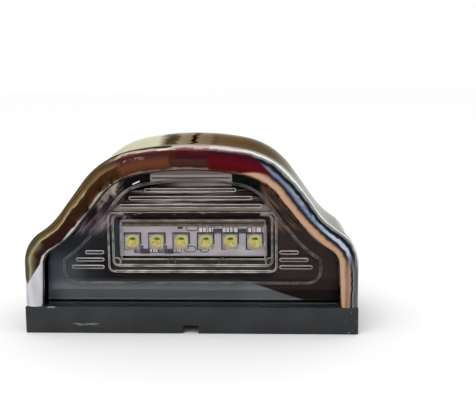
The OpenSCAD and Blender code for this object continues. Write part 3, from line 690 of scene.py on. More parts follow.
def hood_tree():
    """Grows the hood: a section carried round the bell, that rises to the crest and then follows the dome.
    The rim's part of the section is as wide as the share stored on the bell says."""
    tree, given = new_tree("Hood along the bell", [
        ("Path Points", "Int"), ("Section Points", "Int"), ("Base Height", "Float"),
        ("Rise Start", "Float"), ("Round Start", "Float"), ("Depth", "Float"), ("Crest Ratio", "Float"),
        ("Crest Tall", "Float"), ("Dome Power", "Float"), ("Corner Power", "Float"),
        ("End Ratio", "Float"), ("Material", "Material")])
    segments = add(tree, MATH, {0: given["Path Points"], 1: 1.0}, operation="SUBTRACT")
    tube = add(tree, "GeometryNodeMeshCylinder",
               {"Vertices": given["Section Points"], "Side Segments": segments})
    index = add(tree, "GeometryNodeInputIndex")
    turns = add(tree, MATH, {0: index, 1: given["Section Points"]}, operation="DIVIDE")
    ring = add(tree, MATH, {0: turns}, operation="FLOOR")
    spot = add(tree, MATH, {0: index, 1: given["Section Points"]}, operation="MODULO")
    there = add(tree, MATH, {0: spot, 1: given["Path Points"]}, operation="ADD")
    position = add(tree, "GeometryNodeInputPosition")
    read = {}
    for name, kind in (("inward", "FLOAT_VECTOR"), ("across", "FLOAT"), ("share", "FLOAT")):
        read[name] = add(tree, "GeometryNodeInputNamedAttribute", {"Name": name}, data_type=kind)
    point, inward, share, section, band, rim = (
        add(tree, "GeometryNodeSampleIndex", {"Geometry": given["Geometry"], "Value": value, "Index": at},
            data_type=kind)
        for value, at, kind in ((position, ring, "FLOAT_VECTOR"), (read["inward"], ring, "FLOAT_VECTOR"),
                                (read["share"], ring, "FLOAT"), (position, there, "FLOAT_VECTOR"),
                                (read["across"], there, "FLOAT"), (read["share"], there, "FLOAT")))
    offset, depth, keep = add(tree, "ShaderNodeSeparateXYZ", {0: section}, pick=None)
    # On the rim the inset is scaled by the bell's share, elsewhere it stays
    scale = add(tree, RANGE, {0: rim, 3: 1.0, 4: share})
    inset = add(tree, MATH, {0: offset, 1: scale}, operation="MULTIPLY")
    moved = add(tree, "ShaderNodeVectorMath", {0: inward, "Scale": inset}, operation="SCALE")
    moved = add(tree, "ShaderNodeVectorMath", {0: point, 1: moved}, operation="ADD")
    place = add(tree, "ShaderNodeSeparateXYZ", {0: moved}, pick=None)
    # Rise from the rim to the crest
    rise = add(tree, RANGE,
               {0: depth, 1: given["Rise Start"], 2: given["Round Start"], 3: 0.0, 4: math.pi})
    ease = add(tree, MATH, {0: rise}, operation="COSINE")
    ease = add(tree, MATH, {0: ease, 1: -0.5, 2: 0.5}, operation="MULTIPLY_ADD")
    wide = add(tree, RANGE, {0: ease, 3: 1.0, 4: given["Crest Ratio"]})
    tall = add(tree, RANGE, {0: ease, 3: 1.0, 4: given["Crest Tall"]})
    # Share of the way round the dome, at this inset
    back = add(tree, MATH, {0: given["Depth"], 1: inset}, operation="SUBTRACT")
    along = add(tree, RANGE, {0: depth, 1: given["Round Start"], 2: back, 3: 0.0, 4: given["End Ratio"]})
    factors = []
    for start, power in ((wide, given["Corner Power"]), (tall, given["Dome Power"])):
        fall = add(tree, MATH, {0: along, 1: power}, operation="POWER")
        fall = add(tree, MATH, {0: 1.0, 1: fall}, operation="SUBTRACT")
        root = add(tree, MATH, {0: 1.0, 1: power}, operation="DIVIDE")
        fall = add(tree, MATH, {0: fall, 1: root}, operation="POWER")
        factors.append(add(tree, MATH, {0: start, 1: fall}, operation="MULTIPLY"))
    high = add(tree, MATH, {0: place[2], 1: given["Base Height"]}, operation="SUBTRACT")
    high = add(tree, MATH, {0: high, 1: factors[1]}, operation="MULTIPLY")
    high = add(tree, MATH, {0: high, 1: keep, 2: given["Base Height"]}, operation="MULTIPLY_ADD")
    final = add(tree, "ShaderNodeCombineXYZ", {
        0: add(tree, MATH, {0: place[0], 1: factors[0]}, operation="MULTIPLY"),
        1: add(tree, MATH, {0: depth, 1: FRONT * MM}, operation="ADD"), 2: high})
    shaped = add(tree, "GeometryNodeSetPosition", {"Geometry": tube, "Position": final})
    named = add(tree, "GeometryNodeStoreNamedAttribute",
                {"Geometry": shaped, "Name": "across", "Value": band}, data_type="FLOAT", domain="POINT")
    finish_tree(tree, named, given)
    return tree


def finish_tree(tree, geometry, given):
    """Ends a tree: makes its instances real, gives them the material and links the result out."""
    real = add(tree, "GeometryNodeRealizeInstances", {0: geometry})
    done = add(tree, "GeometryNodeSetMaterial", {"Geometry": real, "Material": given["Material"]})
    add(tree, "NodeGroupOutput", {0: done}, pick=None)


def bead_tree():
    """Grows rounded beads along lines: ribs, raised edges and rods, with round ends where wanted."""
    tree, given = new_tree("Beads along lines", [
        ("Width", "Float"), ("Rise", "Float"), ("Round Ends", "Float"), ("Material", "Material")])
    line = add(tree, "GeometryNodeMeshToCurve", {0: given["Geometry"]})
    line = add(tree, "GeometryNodeResampleCurve", {"Curve": line, "Length": BEAD_STEP}, mode="LENGTH")
    run = add(tree, "GeometryNodeSplineParameter", pick="Length")
    whole = add(tree, "GeometryNodeSplineLength")
    rest = add(tree, MATH, {0: whole, 1: run}, operation="SUBTRACT")
    near = add(tree, MATH, {0: run, 1: rest}, operation="MINIMUM")
    # Within half a width of an end the radius falls along a quarter circle, and stays just above nothing
    half = add(tree, MATH, {0: given["Width"], 1: 0.5}, operation="MULTIPLY")
    share = add(tree, MATH, {0: near, 1: half}, operation="DIVIDE", use_clamp=True)
    left = add(tree, MATH, {0: 1.0, 1: share}, operation="SUBTRACT")
    square = add(tree, MATH, {0: left, 1: 2.0}, operation="POWER")
    ends = add(tree, MATH, {0: square, 1: given["Round Ends"]}, operation="MULTIPLY")
    kept = add(tree, MATH, {0: 1.0 + LEAST_SHARE, 1: ends}, operation="SUBTRACT")
    radius = add(tree, MATH, {0: kept, 1: 0.5}, operation="POWER")
    up = add(tree, "GeometryNodeSetCurveNormal", {0: line}, mode="MINIMUM_TWIST")
    ring = add(tree, "GeometryNodeCurvePrimitiveCircle", {"Resolution": BEAD_SIDES, "Radius": 1.0},
               mode="RADIUS")
    ring = add(tree, "GeometryNodeTransform", {
        "Geometry": ring, "Scale": add(tree, "ShaderNodeCombineXYZ", {0: half, 1: half, 2: 1.0})})
    body = add(tree, "GeometryNodeCurveToMesh", {"Curve": up, "Profile Curve": ring, "Scale": radius,
                                                 "Fill Caps": True})
    # The bead is flattened in depth about its own line, to its rise
    ratio = add(tree, MATH, {0: given["Rise"], 1: half}, operation="DIVIDE")
    spot = add(tree, "ShaderNodeSeparateXYZ", {0: add(tree, "GeometryNodeInputPosition")}, pick=None)
    level = add(tree, "GeometryNodeInputNamedAttribute", {"Name": "level"}, data_type="FLOAT")
    offset = add(tree, MATH, {0: spot[1], 1: level}, operation="SUBTRACT")
    high = add(tree, MATH, {0: add(tree, MATH, {0: offset}, operation="ABSOLUTE"), 1: half},
               operation="DIVIDE")
    # How near each point is to the bead's ridge, for its material
    marked = add(tree, "GeometryNodeStoreNamedAttribute",
                 {"Geometry": body, "Name": "ridge", "Value": high}, data_type="FLOAT", domain="POINT")
    deep = add(tree, MATH, {0: offset, 1: ratio, 2: level}, operation="MULTIPLY_ADD")
    flat = add(tree, "GeometryNodeSetPosition", {
        "Geometry": marked,
        "Position": add(tree, "ShaderNodeCombineXYZ", {0: spot[0], 1: deep, 2: spot[2]})})
    finish_tree(tree, flat, given)
    return tree


def row_tree():
    """Sets a small piece at each point of a row, as the diodes stand on their board."""
    tree, given = new_tree("Pieces in a row", [
        ("Count", "Int"), ("Pitch", "Float"), ("Middle", "Vector"), ("Material", "Material")])
    gaps = add(tree, MATH, {0: given["Count"], 1: 1.0}, operation="SUBTRACT")
    span = add(tree, MATH, {0: gaps, 1: given["Pitch"]}, operation="MULTIPLY")
    first = add(tree, MATH, {0: span, 1: -0.5}, operation="MULTIPLY")
    start = add(tree, "ShaderNodeVectorMath", {0: add(tree, "ShaderNodeCombineXYZ", {0: first}),
                                               1: given["Middle"]}, operation="ADD")
    hop = add(tree, "ShaderNodeCombineXYZ", {0: given["Pitch"]})
    row = add(tree, "GeometryNodeMeshLine",
              {"Count": given["Count"], "Start Location": start, "Offset": hop}, mode="OFFSET")
    placed = add(tree, "GeometryNodeInstanceOnPoints", {"Points": row, "Instance": given["Geometry"]})
    finish_tree(tree, placed, given)
    return tree


def nodes_named(start):
    """Names of the frame's nodes that begin with start, in order."""
    return sorted(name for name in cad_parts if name.startswith(start))


def tree_named(name, make):
    """The node tree of that name, made on its first use."""
    return bpy.data.node_groups.get(name) or make()


# Pieces

# The hood's section: rim, skin and dome
HOOD_DEPTH = of_frame("base", 1, "y")
RIM_PROUD = 0.8
HOOD_WALL = 2.0
FACE_CROWN = 0.3
ROUND_START = 28.0
CREST_RATIO = 0.98
DOME_POWER = 2.2
CORNER_POWER = 4.0
END_RATIO = 0.994
# Shares of the rim's depth at which its outer wall has points, and depths at which its inner wall has them
OUTER_WALL = (1.0, 0.8, 0.6)
INNER_WALL = (3.2, 4.8)
# Steps of the rim's rounds, of its face, of the skin up to the crest and of the dome
ROUND_STEPS, FACE_STEPS, TOP_STEPS, DOME_STEPS = 8, 6, 12, 22
# The lens: depths of its faces, and the edge of its raised panel
LENS_FRONT = 7.0
LENS_BACK = of_frame("lens_seal", 0, "y")
LENS_INSET = 3.1
PANEL_FRONT = 6.4
PANEL_INSET = 11.8
PANEL_Z = 15.9
PANEL_CORNER = 4.0
# Rounding of the panel's edge: depths, and how far each lies inside the panel's outline
PANEL_ROUND = ((LENS_FRONT, 0.0), (6.55, 0.03), (6.44, 0.1), (PANEL_FRONT, 0.22))
# Outline of the bead along that edge, lit by painted highlights: inset, lowest point and corner
PANEL_BEAD = (12.0, 15.6, 4.6)
PANEL_BEAD_PROUD = 0.2
# The rim's inner wall ends just in front of the lens
RIM_GAP = 0.3
RIM_BACK = LENS_FRONT - RIM_GAP
# Long ribs: highest, step down and half lengths. Side ribs: inner end, highest, step down and outer ends
LONG_RIBS = (47.0, 2.65, (15.2, 20.5, 23.6))
SIDE_RIBS = (29.2, 26.1, 2.5, (35.7, 38.9, 40.3))
# Edges round the window: half width, lowest, highest, depth and corner
WELL_EDGES = ((28.2, 18.9, 38.9, 9.3, 1.8), (26.8, 20.8, 38.0, 10.2, 1.6))
WINDOW_EDGE = (24.4, 22.55, 35.9, 12.0, 0.4)
# Sills below the window, lit by painted highlights: half length, depth and height
SILLS = ((25.5, 10.4, 20.7), (26.5, 9.4, 18.9))
# Painted glint on the left shoulder, from its lower end to its upper one as (x, z)
GLINT = ((-19.3, 48.8), (-16.6, 50.0))
GLINT_PROUD = 0.1
# Moulding pips beside the window and faint, flatter gate marks below it, with their places as (x, z)
RING_RADIUS = 1.3
RING_DEPTH = 11.0
PIPS = ((-25.9, 21.9), (25.9, 21.9))
GATE_MARKS = ((-7.2, 22.0), (10.0, 22.0))
GATE_SQUASH = 0.9
# The base: edges sharper than this many degrees and longer than this are rounded
SHARP_EDGE = 40
SHORT_EDGE = 1.2 * MM
# The light board and its diodes
BOARD_FRONT = of_frame("light_board", 0, "y")
LED_FRONT = of_frame("led_case_1", 0, "y")
LED_Z = (of_frame("led_case_1", 0, "z") + of_frame("led_case_1", 1, "z")) / 2
CASE_SIDE = 5.0
CASE_DEPTH = 1.6
CASE_ROUND = 0.12
PHOSPHOR_RADII = (1.6, 0.35, 1.75)
PHOSPHOR_SUNK = 0.02
# Printed frame round each diode: half side, width of its lines, and where its lower line ends and its
# right one starts
FRAME_HALF = 3.0
FRAME_LINE = 0.4
FRAME_GAP = (-1.2, -1.0)
# How far ink, shaded fills, pads and outlines stand out of the board
INK = 0.06
FILL_RISE = 0.11
PAD_RISE = 0.12
OUTLINE_PROUD = 0.02
# Printed and soldered on the board, as rows of lowest, highest and each one's left and right end
DARK_STRIPS = ((31.3, 33.3, ((1.8, 4.5), (5.1, 7.3), (9.8, 15.4), (18.4, 20.0), (21.2, 23.4))),
               (32.6, 33.4, ((-5.3, -3.6),)),
               (24.3, 26.4, ((-15.2, -12.4), (-7.1, -4.2))),
               (24.3, 26.8, ((-20.4, -17.2), (-12.2, -9.1))))
FILLS = ((24.6, 26.5, ((-20.1, -17.5), (-11.9, -9.3))),)
PADS = ((31.5, 33.1, ((2.0, 3.0), (3.3, 4.3), (5.3, 6.1), (6.4, 7.1), (10.0, 11.0), (11.3, 12.2),
                      (12.5, 13.4), (13.8, 15.2), (18.7, 19.7), (21.5, 23.1))),
        (24.6, 26.1, ((-14.9, -14.3), (-13.9, -13.3), (-13.1, -12.5), (-6.8, -6.2), (-5.8, -5.2),
                      (-5.0, -4.4))))
# Printed outlines: middle as x and z, half width and half height
OUTLINES = ((-1.2, 25.6, 2.0, 1.0), (3.7, 25.4, 1.5, 0.8), (-0.4, 32.8, 2.0, 0.8))
# Solder drops, painted white as glints: lower end of each as (x, z), and how far the upper one leans
DROPS = ((0.9, 24.7), (8.8, 24.7), (17.5, 24.8), (-22.4, 24.4))
DROP_LEAN = (0.05, 0.5)
DROP_PROUD = 0.05
# Steps of the housing's ledge above the board: front, lowest and highest
LEDGE_HALF = 24.3
LEDGE_BACK = 13.9
LEDGE_STEPS = ((13.3, 33.6, 34.6), (13.0, 34.9, 35.7))
# The stage, in metres and degrees
FLOOR_HALF = 2.5
KEY_SIZE = 0.6
KEY_PLACE = Vector((-0.25, -0.55, 0.75))
KEY_AIM = Vector((0, 0, 0.02))
CAMERA_PLACE = Vector((0.03097, -0.3133, 0.0886))
CAMERA_YAW, CAMERA_PITCH, CAMERA_ROLL = 3.0, 9.38, -0.55
SENSOR_WIDTH = 36.0


def rim_section(sizes):
    """The rim's section from its outer wall to its inner one, as (inset, depth)."""
    outer, inner = sizes.rim_outer / MM, sizes.rim_inner / MM
    width, deep = sizes.rim_width / MM, sizes.rim_depth / MM
    face = width - inner
    quarter = [way(angle) for angle in evenly(0.0, 90.0, ROUND_STEPS)]
    rim = [(0.0, deep * share) for share in OUTER_WALL]
    rim += [(outer * (1 - c), FACE_CROWN + outer * (1 - s)) for s, c in quarter]
    rim += [(outer + (face - outer) * i / FACE_STEPS, FACE_CROWN * (2 * i / FACE_STEPS - 1) ** 2)
            for i in range(1, FACE_STEPS)]
    rim += [(face + inner * s, FACE_CROWN + inner * (1 - c)) for s, c in quarter]
    return rim + [(width, y) for y in (*INNER_WALL, RIM_BACK)]


def skin_section(start, inset):
    """The skin's section at that inset, from the depth start behind the rim to the end of the dome."""
    reach, turn = HOOD_DEPTH - inset - ROUND_START, math.asin(END_RATIO)
    flat = evenly(start, ROUND_START, TOP_STEPS)[:-1]
    bow = [ROUND_START + reach * math.sin(a) / END_RATIO for a in evenly(0.0, turn, DOME_STEPS)]
    return [(inset, y) for y in flat + bow]


def hood_section(sizes, start):
    """The hood's whole section, from the outer end of the dome round the rim to the inner end. Each point
    is inset, depth, 0 where it is drawn down to the base, place across, and 1 on the rim."""
    rim = rim_section(sizes)
    outside, within = (skin_section(start, inset) for inset in (RIM_PROUD, RIM_PROUD + HOOD_WALL))
    lengths = [0.0]
    for a, b in zip(rim, rim[1:]):
        lengths.append(lengths[-1] + math.dist(a, b))
    section = [(*outside[-1], 0.0, -1.0, 0.0)]
    section += [(i, y, 1.0, -1.0, 0.0) for i, y in reversed(outside)]
    section += [(i, y, 1.0, length / lengths[-1], 1.0) for (i, y), length in zip(rim, lengths)]
    section += [(RIM_PROUD + HOOD_WALL, RIM_BACK, 1.0, 2.0, 0.0)]
    section += [(i, y, 1.0, 2.0, 0.0) for i, y in within]
    return section + [(*within[-1], 0.0, 2.0, 0.0)]


class LAMP_OT_hood(bpy.types.Operator):
    """Builds the chrome-plated hood with its rolled rim"""
    bl_idname = "lamp.hood"
    bl_label = "Hood"

    def execute(self, context):
        sizes = context.scene.lamp_sizes
        start = sizes.rim_depth / MM + RIM_PROUD
        section, path = hood_section(sizes, start), bell_path()
        low, high = RIM_SHARES
        shares = [low + (high - low) * (z - BASE_TOP) / (RIM_TOP - BASE_TOP) for _, z, _, _ in path]
        mesh = bpy.data.meshes.new("bell and section")
        mesh.from_pydata([(x * MM, 0, z * MM) for x, z, _, _ in path]
                         + [(i * MM, y * MM, keep) for i, y, keep, _, _ in section], [], [])
        ways = [v for _, _, u, w in path for v in (u, 0.0, w)] + [0.0] * 3 * len(section)
        mesh.attributes.new("inward", "FLOAT_VECTOR", "POINT").data.foreach_set("vector", ways)
        for name, values in (("across", [0.0] * len(path) + [a for _, _, _, a, _ in section]),
                             ("share", shares + [r for _, _, _, _, r in section])):
            mesh.attributes.new(name, "FLOAT", "POINT").data.foreach_set("value", values)
        crest = RIM_TOP + sizes.crest_rise / MM - BASE_TOP
        grown = grow("hood", mesh, tree_named("Hood along the bell", hood_tree), {
            "Path Points": len(path), "Section Points": len(section), "Base Height": BASE_TOP * MM,
            "Rise Start": start * MM, "Round Start": ROUND_START * MM, "Depth": HOOD_DEPTH * MM,
            "Crest Ratio": CREST_RATIO, "Dome Power": DOME_POWER, "Corner Power": CORNER_POWER,
            "Crest Tall": crest / (RIM_TOP - RIM_PROUD - BASE_TOP), "End Ratio": END_RATIO,
            "Material": None})
        finish_mesh("hood_shell", grown, chrome_plated_abs(), ["hood"], smooth=30)
        return {"FINISHED"}


def loft(loops):
    """Closed solid through outlines of (y, points), each with the same number of points (x, z)."""
    points = [(x, y, z) for y, loop in loops for x, z in loop]
    n = len(loops[0][1])
    faces = [[k * n + i, k * n + (i + 1) % n, (k + 1) * n + (i + 1) % n, (k + 1) * n + i]
             for k in range(len(loops) - 1) for i in range(n)]
    faces += [list(range(n)), [(len(loops) - 1) * n + i for i in reversed(range(n))]]
    return mesh_from(points, [], faces)


def beads(name, lines, closed, width, rise, material, round_ends=1.0):
    """Beads of that width and rise, in millimetres, along lines of points (x, y, z)."""
    points, edges = [], []
    for line in lines:
        first = len(points)
        points += line
        edges += [(first + i, first + i + 1) for i in range(len(line) - 1)]
        if closed:
            edges.append((len(points) - 1, first))
    mesh = mesh_from(points, edges)
    level = mesh.attributes.new("level", "FLOAT", "POINT")
    level.data.foreach_set("value", [(p[1] + FRONT) * MM for p in points])
    return grow(name, mesh, tree_named("Beads along lines", bead_tree), {
        "Width": width * MM, "Rise": rise * MM, "Round Ends": round_ends, "Material": material})


def rounded_frame(half, z0, z1, y, corner):
    """A rectangle with rounded corners in the plane y, as points (x, y, z)."""
    points = []
    for side, end, start in ((1, z0, 270), (1, z1, 0), (-1, z1, 90), (-1, z0, 180)):
        middle = (side * (half - corner), end + (corner if end == z0 else -corner))
        for a in QUARTER:
            s, c = way(start + a)
            points.append((middle[0] + corner * c, y, middle[1] + corner * s))
    return points


def pill(a, b, half, high, y, squash=1.0):
    """A frame with round ends about the point (a, b) in the plane y, whose height counts squash times."""
    return [(x + a, y, z * squash + b) for x, y, z in rounded_frame(half, -high, high, y, high)]


class LAMP_OT_lens(bpy.types.Operator):
    """Builds the clear lens with its raised bell panel, ribs and light well"""
    bl_idname = "lamp.lens"
    bl_label = "Lens"

    def execute(self, context):
        sizes = context.scene.lamp_sizes
        clear = clear_polycarbonate("clear polycarbonate, moulded")
        # The beads' pale lines are painted highlights, and the glint is painted white
        bright = clear_polycarbonate("clear polycarbonate, lit ribs", ("#a59c9c", "#d0c8c6"), 0.92)
        faint = clear_polycarbonate("clear polycarbonate, raised edge", ("#67676b", "#a39e9b"), 0.6,
                                    0.0, 0.2, lit_shoulder)
        frames = clear_polycarbonate("clear polycarbonate, well edges", ("#96968f", "#e2e0d8"), 0.97,
                                     0.35, 0.0, dark_run)
        glint = plain("clear polycarbonate, glint", "#ffffff", 0.2, spread=0.0)
        plate = [(y, bell_loop(LENS_INSET, BASE_TOP, 0.0)) for y in (LENS_FRONT, LENS_BACK)]
        finish_mesh("lens_plate", loft(plate), clear, ["lens"])
        panel = [(y, bell_loop(PANEL_INSET + step, PANEL_Z + step, PANEL_CORNER))
                 for y, step in PANEL_ROUND]
        finish_mesh("lens_panel", loft(panel), clear, (), smooth=60)
        top, step, halves = LONG_RIBS
        rows = [(-half, half, top - step * i) for i, half in enumerate(halves)]
        start, top, step, ends = SIDE_RIBS
        rows += [(side * start, side * end, top - step * i)
                 for side in (-1, 1) for i, end in enumerate(ends)]
        ribs = [[(a, PANEL_FRONT, level), (b, PANEL_FRONT, level)] for a, b, level in rows]
        outline = [[(x, LENS_FRONT - PANEL_BEAD_PROUD, z) for x, z in bell_loop(*PANEL_BEAD)]]
        wells = [rounded_frame(*edge) for edge in WELL_EDGES]
        sills = [[(-half, y, z), (half, y, z)] for half, y, z in SILLS]
        spark = [[(x, LENS_FRONT - GLINT_PROUD, z) for x, z in GLINT]]
        pips, marks = ([pill(x, z, RING_RADIUS, RING_RADIUS, RING_DEPTH, squash) for x, z in places]
                       for places, squash in ((PIPS, 1.0), (GATE_MARKS, GATE_SQUASH)))
        for name, lines, closed, width, rise, material, ends in (
                ("lens_ribs", ribs, False, sizes.rib_width / MM, sizes.rib_rise / MM, bright, 1.0),
                ("lens_panel_edge", outline, True, 1.0, 0.4, faint, 0.0),
                ("lens_well_edges", wells, True, 0.6, 0.25, frames, 0.0),
                ("lens_well_sills", sills, False, 0.9, 0.2, frames, 1.0),
                ("lens_window_edge", [rounded_frame(*WINDOW_EDGE)], True, 0.5, 0.25, frames, 0.0),
                ("lens_glint", spark, False, 0.5, 0.2, glint, 1.0),
                ("lens_pips", pips, True, 0.45, 0.3, frames, 0.0),
                ("lens_gate_marks", marks, True, 0.35, 0.2, faint, 0.0)):
            finish_mesh(name, beads(name, lines, closed, width, rise, material, ends), None, (),
                        smooth=60)
        return {"FINISHED"}


class LAMP_OT_base(bpy.types.Operator):
    """Rounds the edges of the black base"""
    bl_idname = "lamp.base"
    bl_label = "Base"

    def execute(self, context):
        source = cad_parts["base"].data.copy()
        work = bmesh.new()
        work.from_mesh(source)
        bmesh.ops.remove_doubles(work, verts=work.verts, dist=MERGE_FRAME)
        bmesh.ops.dissolve_limit(work, angle_limit=math.radians(1), verts=work.verts, edges=work.edges)
        sharp = [e for e in work.edges if len(e.link_faces) == 2 and e.calc_length() > SHORT_EDGE
                 and e.calc_face_angle(0) > math.radians(SHARP_EDGE)]
        bmesh.ops.bevel(work, geom=sharp, offset=context.scene.lamp_sizes.base_round, segments=3,
                        profile=0.5, affect="EDGES", clamp_overlap=True)
        work.to_mesh(source)
        work.free()
        black = moulded_black("black ABS, moulded base", context.scene.lamp_colours.base, 0.42,
                              scuffs, specks, edge_glint)
        finish_mesh("base_tray", source, black, ["base"])
        return {"FINISHED"}


def box_mesh(parts, bevel=0.0):
    """Boxes of (x0, x1, y0, y1, z0, z1) in millimetres, with their edges rounded."""
    work = bmesh.new()
    for part in parts:
        ends = list(zip(part[::2], part[1::2]))
        made = bmesh.ops.create_cube(work, size=1.0)["verts"]
        bmesh.ops.scale(work, verts=made, vec=[(high - low) * MM for low, high in ends])
        bmesh.ops.translate(work, verts=made, vec=[(low + high) / 2 * MM for low, high in ends])
    if bevel:
        bmesh.ops.bevel(work, geom=work.edges[:], offset=bevel * MM, segments=2, profile=0.5,
                        affect="EDGES")
    mesh = bpy.data.meshes.new("boxes")
    work.to_mesh(mesh)
    work.free()
    return mesh


def on_board(name, rows, rise, material):
    """Flat boxes that stand out of the board's front by rise, in rows of (lowest, highest, ends)."""
    front, back = BOARD_FRONT - rise + FRONT, BOARD_FRONT + FRONT
    parts = [(a, b, front, back, low, high) for low, high, spans in rows for a, b in spans]
    finish_mesh(name, box_mesh(parts), material, ())


def in_row(sizes, name, mesh, depth, material):
    """A mesh set once for each diode, in a row at that depth."""
    return grow(name, mesh, tree_named("Pieces in a row", row_tree), {
        "Count": sizes.led_count, "Pitch": sizes.led_pitch, "Material": material,
        "Middle": (0, (depth + FRONT) * MM, LED_Z * MM)})


class LAMP_OT_diodes(bpy.types.Operator):
    """Sets the row of diodes, each a case with its round lens"""
    bl_idname = "lamp.diodes"
    bl_label = "Diodes"

    def execute(self, context):
        sizes, colours = context.scene.lamp_sizes, context.scene.lamp_colours
        pitch, half = sizes.led_pitch / MM, CASE_SIDE / 2
        case = box_mesh([(-half, half, 0.0, CASE_DEPTH, -half, half)], CASE_ROUND)
        cases = in_row(sizes, "cases", case, LED_FRONT, diode_case(pitch))
        finish_mesh("led_cases", cases, None, nodes_named("led_case_"))
        work = bmesh.new()
        bmesh.ops.create_uvsphere(work, u_segments=32, v_segments=16, radius=1.0)
        bmesh.ops.scale(work, verts=work.verts, vec=[radius * MM for radius in PHOSPHOR_RADII])
        lens = bpy.data.meshes.new("phosphor lens")
        work.to_mesh(lens)
        work.free()
        glow = phosphor(colours.phosphor, pitch)
        lenses = in_row(sizes, "domes", lens, LED_FRONT + PHOSPHOR_SUNK, glow)
        finish_mesh("led_lenses", lenses, None, nodes_named("led_dome_"))
        return {"FINISHED"}


class LAMP_OT_board(bpy.types.Operator):
    """Prints the light board and sets its pads, solder and the ledge above it"""
    bl_idname = "lamp.board"
    bl_label = "Light board"

    def execute(self, context):
        ink = plain("black marking ink", "#241f29", 0.6)
        edge, bar = FRAME_HALF, FRAME_HALF - FRAME_LINE
        lines = [(-edge, edge, 0, INK, bar, edge), (-edge, FRAME_GAP[0], 0, INK, -edge, -bar),
                 (-edge, -bar, 0, INK, -edge, edge), (bar, edge, 0, INK, FRAME_GAP[1], edge)]
        prints = in_row(context.scene.lamp_sizes, "frames", box_mesh(lines), BOARD_FRONT - INK, ink)
        finish_mesh("board_print", prints, None, ())
        # Dark strips lie under the upper small parts and beside the lower ones
        on_board("board_strips", DARK_STRIPS, INK, ink)
        lilac = plain("solder resist in shade", "#8d839c", 0.4)
        on_board("board_fills", FILLS, FILL_RISE, lilac)
        silver = plain("solder, tinned pads", "#efe9ea", 0.35)
        on_board("board_pads", PADS, PAD_RISE, silver)
        pills = [pill(*place, BOARD_FRONT - OUTLINE_PROUD) for place in OUTLINES]
        outlines = beads("outlines", pills, True, 0.28, 0.05, ink, 0.0)
        finish_mesh("board_outlines", outlines, None, ())
        y = BOARD_FRONT - DROP_PROUD
        drops = [[(x, y, z), (x + DROP_LEAN[0], y, z + DROP_LEAN[1])] for x, z in DROPS]
        # The drops are painted pure white as glints on the solder
        white = plain("solder drops, painted glints", "#ffffff", 0.15)
        solder = beads("solder", drops, False, 0.75, 0.3, white)
        finish_mesh("board_solder_glints", solder, None, ())
        # The black ledge of the housing above the board is painted brown for the warm light that falls on
        # it through the window
        ledge = [(-LEDGE_HALF, LEDGE_HALF, front + FRONT, LEDGE_BACK + FRONT, low, high)
                 for front, low, high in LEDGE_STEPS]
        warm = plain("black ABS, ledge in warm light", "#6a5d4c", 0.5, spread=0.3)
        finish_mesh("board_ledge", box_mesh(ledge, 0.1), warm, ())
        resist = tuple(context.scene.lamp_colours.board)
        board = plain("white solder resist", resist, 0.4, size=(8.3, 5, 3.3), spread=0.08)
        dress(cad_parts["light_board"], board)
        return {"FINISHED"}


def dress(node, material):
    """Gives a CAD node its material, and leaves its mesh as it is."""
    node.data.materials.clear()
    node.data.materials.append(material)


class LAMP_OT_fittings(bpy.types.Operator):
    """Dresses the housing, seal, chips, screws, inserts and grommet that the CAD frame carries"""
    bl_idname = "lamp.fittings"
    bl_label = "Housing and fittings"

    def execute(self, context):
        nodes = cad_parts
        rubber = plain("black rubber, moulded", "#1c1c1e", 0.7)
        chip = plain("dark ceramic chip, glazed", "#37323a", 0.3)
        zinc = plain("steel, zinc plated", "#b4b6ba", 0.3, 1.0)
        brass = plain("brass, turned", "#c2a25a", 0.3, 1.0)
        # The housing and the seal behind the lens carry painted reflections
        looks = {"housing": housing_black("black ABS, polished mould", 0.4), "cable_grommet": rubber,
                 "lens_seal": housing_black("black rubber behind the lens", 0.7), "board_screws": zinc,
                 "housing_screws": zinc, "threaded_inserts": brass}
        looks.update({name: chip for name in nodes_named("chip_")})
        for name, material in looks.items():
            dress(nodes[name], material)
        return {"FINISHED"}


# Stage, panel and registration

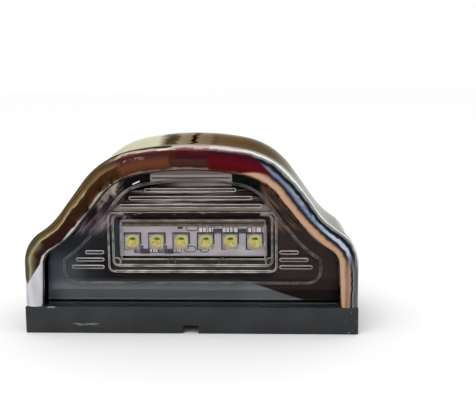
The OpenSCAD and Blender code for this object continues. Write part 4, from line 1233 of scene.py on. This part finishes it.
class LAMP_OT_stage(bpy.types.Operator):
    """Lays the floor, lights the room and sets the camera"""
    bl_idname = "lamp.stage"
    bl_label = "Stage"

    def execute(self, context):
        scene, settings = context.scene, context.scene.lamp_stage
        mesh = bpy.data.meshes.new("floor")
        corners = [(x * FLOOR_HALF, y * FLOOR_HALF, 0) for x, y in ((-1, -1), (1, -1), (1, 1), (-1, 1))]
        mesh.from_pydata(corners, [], [(0, 1, 2, 3)])
        floor = bpy.data.objects.new("floor", mesh)
        scene.collection.objects.link(floor)
        paper, _, _ = new_material("white paper floor", Roughness=0.9, Specular_IOR_Level=0.0,
                                   Base_Color=(*scene.lamp_colours.floor, 1.0))
        mesh.materials.append(paper)
        world = bpy.data.worlds.new("white room")
        world.use_nodes = True
        tree = world.node_tree
        seen = add(tree, "ShaderNodeLightPath", pick=None)
        # Seen straight, mirrored or through the lens the room stays white, however much light it gives
        white = seen["Is Camera Ray"]
        for ray in ("Is Glossy Ray", "Is Transmission Ray"):
            white = add(tree, MATH, {0: white, 1: seen[ray]}, operation="MAXIMUM")
        strength = add(tree, RANGE, {0: white, 3: settings.world_light, 4: 1.0})
        tree.links.new(strength, tree.nodes["Background"].inputs["Strength"])
        tree.nodes["Background"].inputs["Color"].default_value = (1, 1, 1, 1)
        scene.world = world
        lamp = bpy.data.lights.new("soft key", "AREA")
        lamp.shape, lamp.size, lamp.energy = "DISK", KEY_SIZE, settings.key_light
        key = bpy.data.objects.new("soft key", lamp)
        key.location = KEY_PLACE
        key.rotation_euler = (KEY_AIM - KEY_PLACE).to_track_quat("-Z", "Y").to_euler()
        scene.collection.objects.link(key)
        camera = bpy.data.objects.new("camera", bpy.data.cameras.new("camera"))
        camera.data.lens, camera.data.sensor_width = settings.focal, SENSOR_WIDTH
        (ys, yc), (ps, pc), (rs, rc) = (way(angle) for angle in (CAMERA_YAW, CAMERA_PITCH, CAMERA_ROLL))
        ahead = Vector((-ys * pc, yc * pc, -ps))
        side = Vector((yc, ys, 0))
        up = side.cross(ahead)
        right = side * rc + up * rs
        above = up * rc - side * rs
        turn = Matrix((right, above, -ahead)).transposed().to_4x4()
        camera.matrix_world = Matrix.Translation(CAMERA_PLACE) @ turn
        scene.collection.objects.link(camera)
        scene.camera = camera
        scene.view_settings.view_transform = "Standard"
        return {"FINISHED"}


class LAMP_PT_panel(bpy.types.Panel):
    """Lists the lamp's pieces and sizes"""
    bl_idname = "LAMP_PT_panel"
    bl_label = "Number plate lamp"
    bl_space_type = "VIEW_3D"
    bl_region_type = "UI"
    bl_category = "Lamp"

    def draw(self, context):
        for name in ("lamp_sizes", "lamp_colours", "lamp_stage"):
            group = getattr(context.scene, name)
            box = self.layout.box()
            for prop in group.bl_rna.properties:
                if prop.identifier not in ("rna_type", "name"):
                    box.prop(group, prop.identifier)
        for operator in OPERATORS:
            self.layout.operator(operator.bl_idname)


OPERATORS = (LAMP_OT_hood, LAMP_OT_lens, LAMP_OT_base, LAMP_OT_diodes, LAMP_OT_board, LAMP_OT_fittings,
             LAMP_OT_stage)
CLASSES = (LampSizes, LampColours, StageSettings, *OPERATORS, LAMP_PT_panel)


def register():
    for item in CLASSES:
        bpy.utils.register_class(item)
    bpy.types.Scene.lamp_sizes = PointerProperty(type=LampSizes)
    bpy.types.Scene.lamp_colours = PointerProperty(type=LampColours)
    bpy.types.Scene.lamp_stage = PointerProperty(type=StageSettings)


def unregister():
    for name in ("lamp_sizes", "lamp_colours", "lamp_stage"):
        delattr(bpy.types.Scene, name)
    for item in reversed(CLASSES):
        bpy.utils.unregister_class(item)


def main():
    """Registers the add-on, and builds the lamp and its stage."""
    register()
    for operator in OPERATORS:
        group, name = operator.bl_idname.split(".")
        getattr(getattr(bpy.ops, group), name)()


if __name__ == "__main__":
    main()
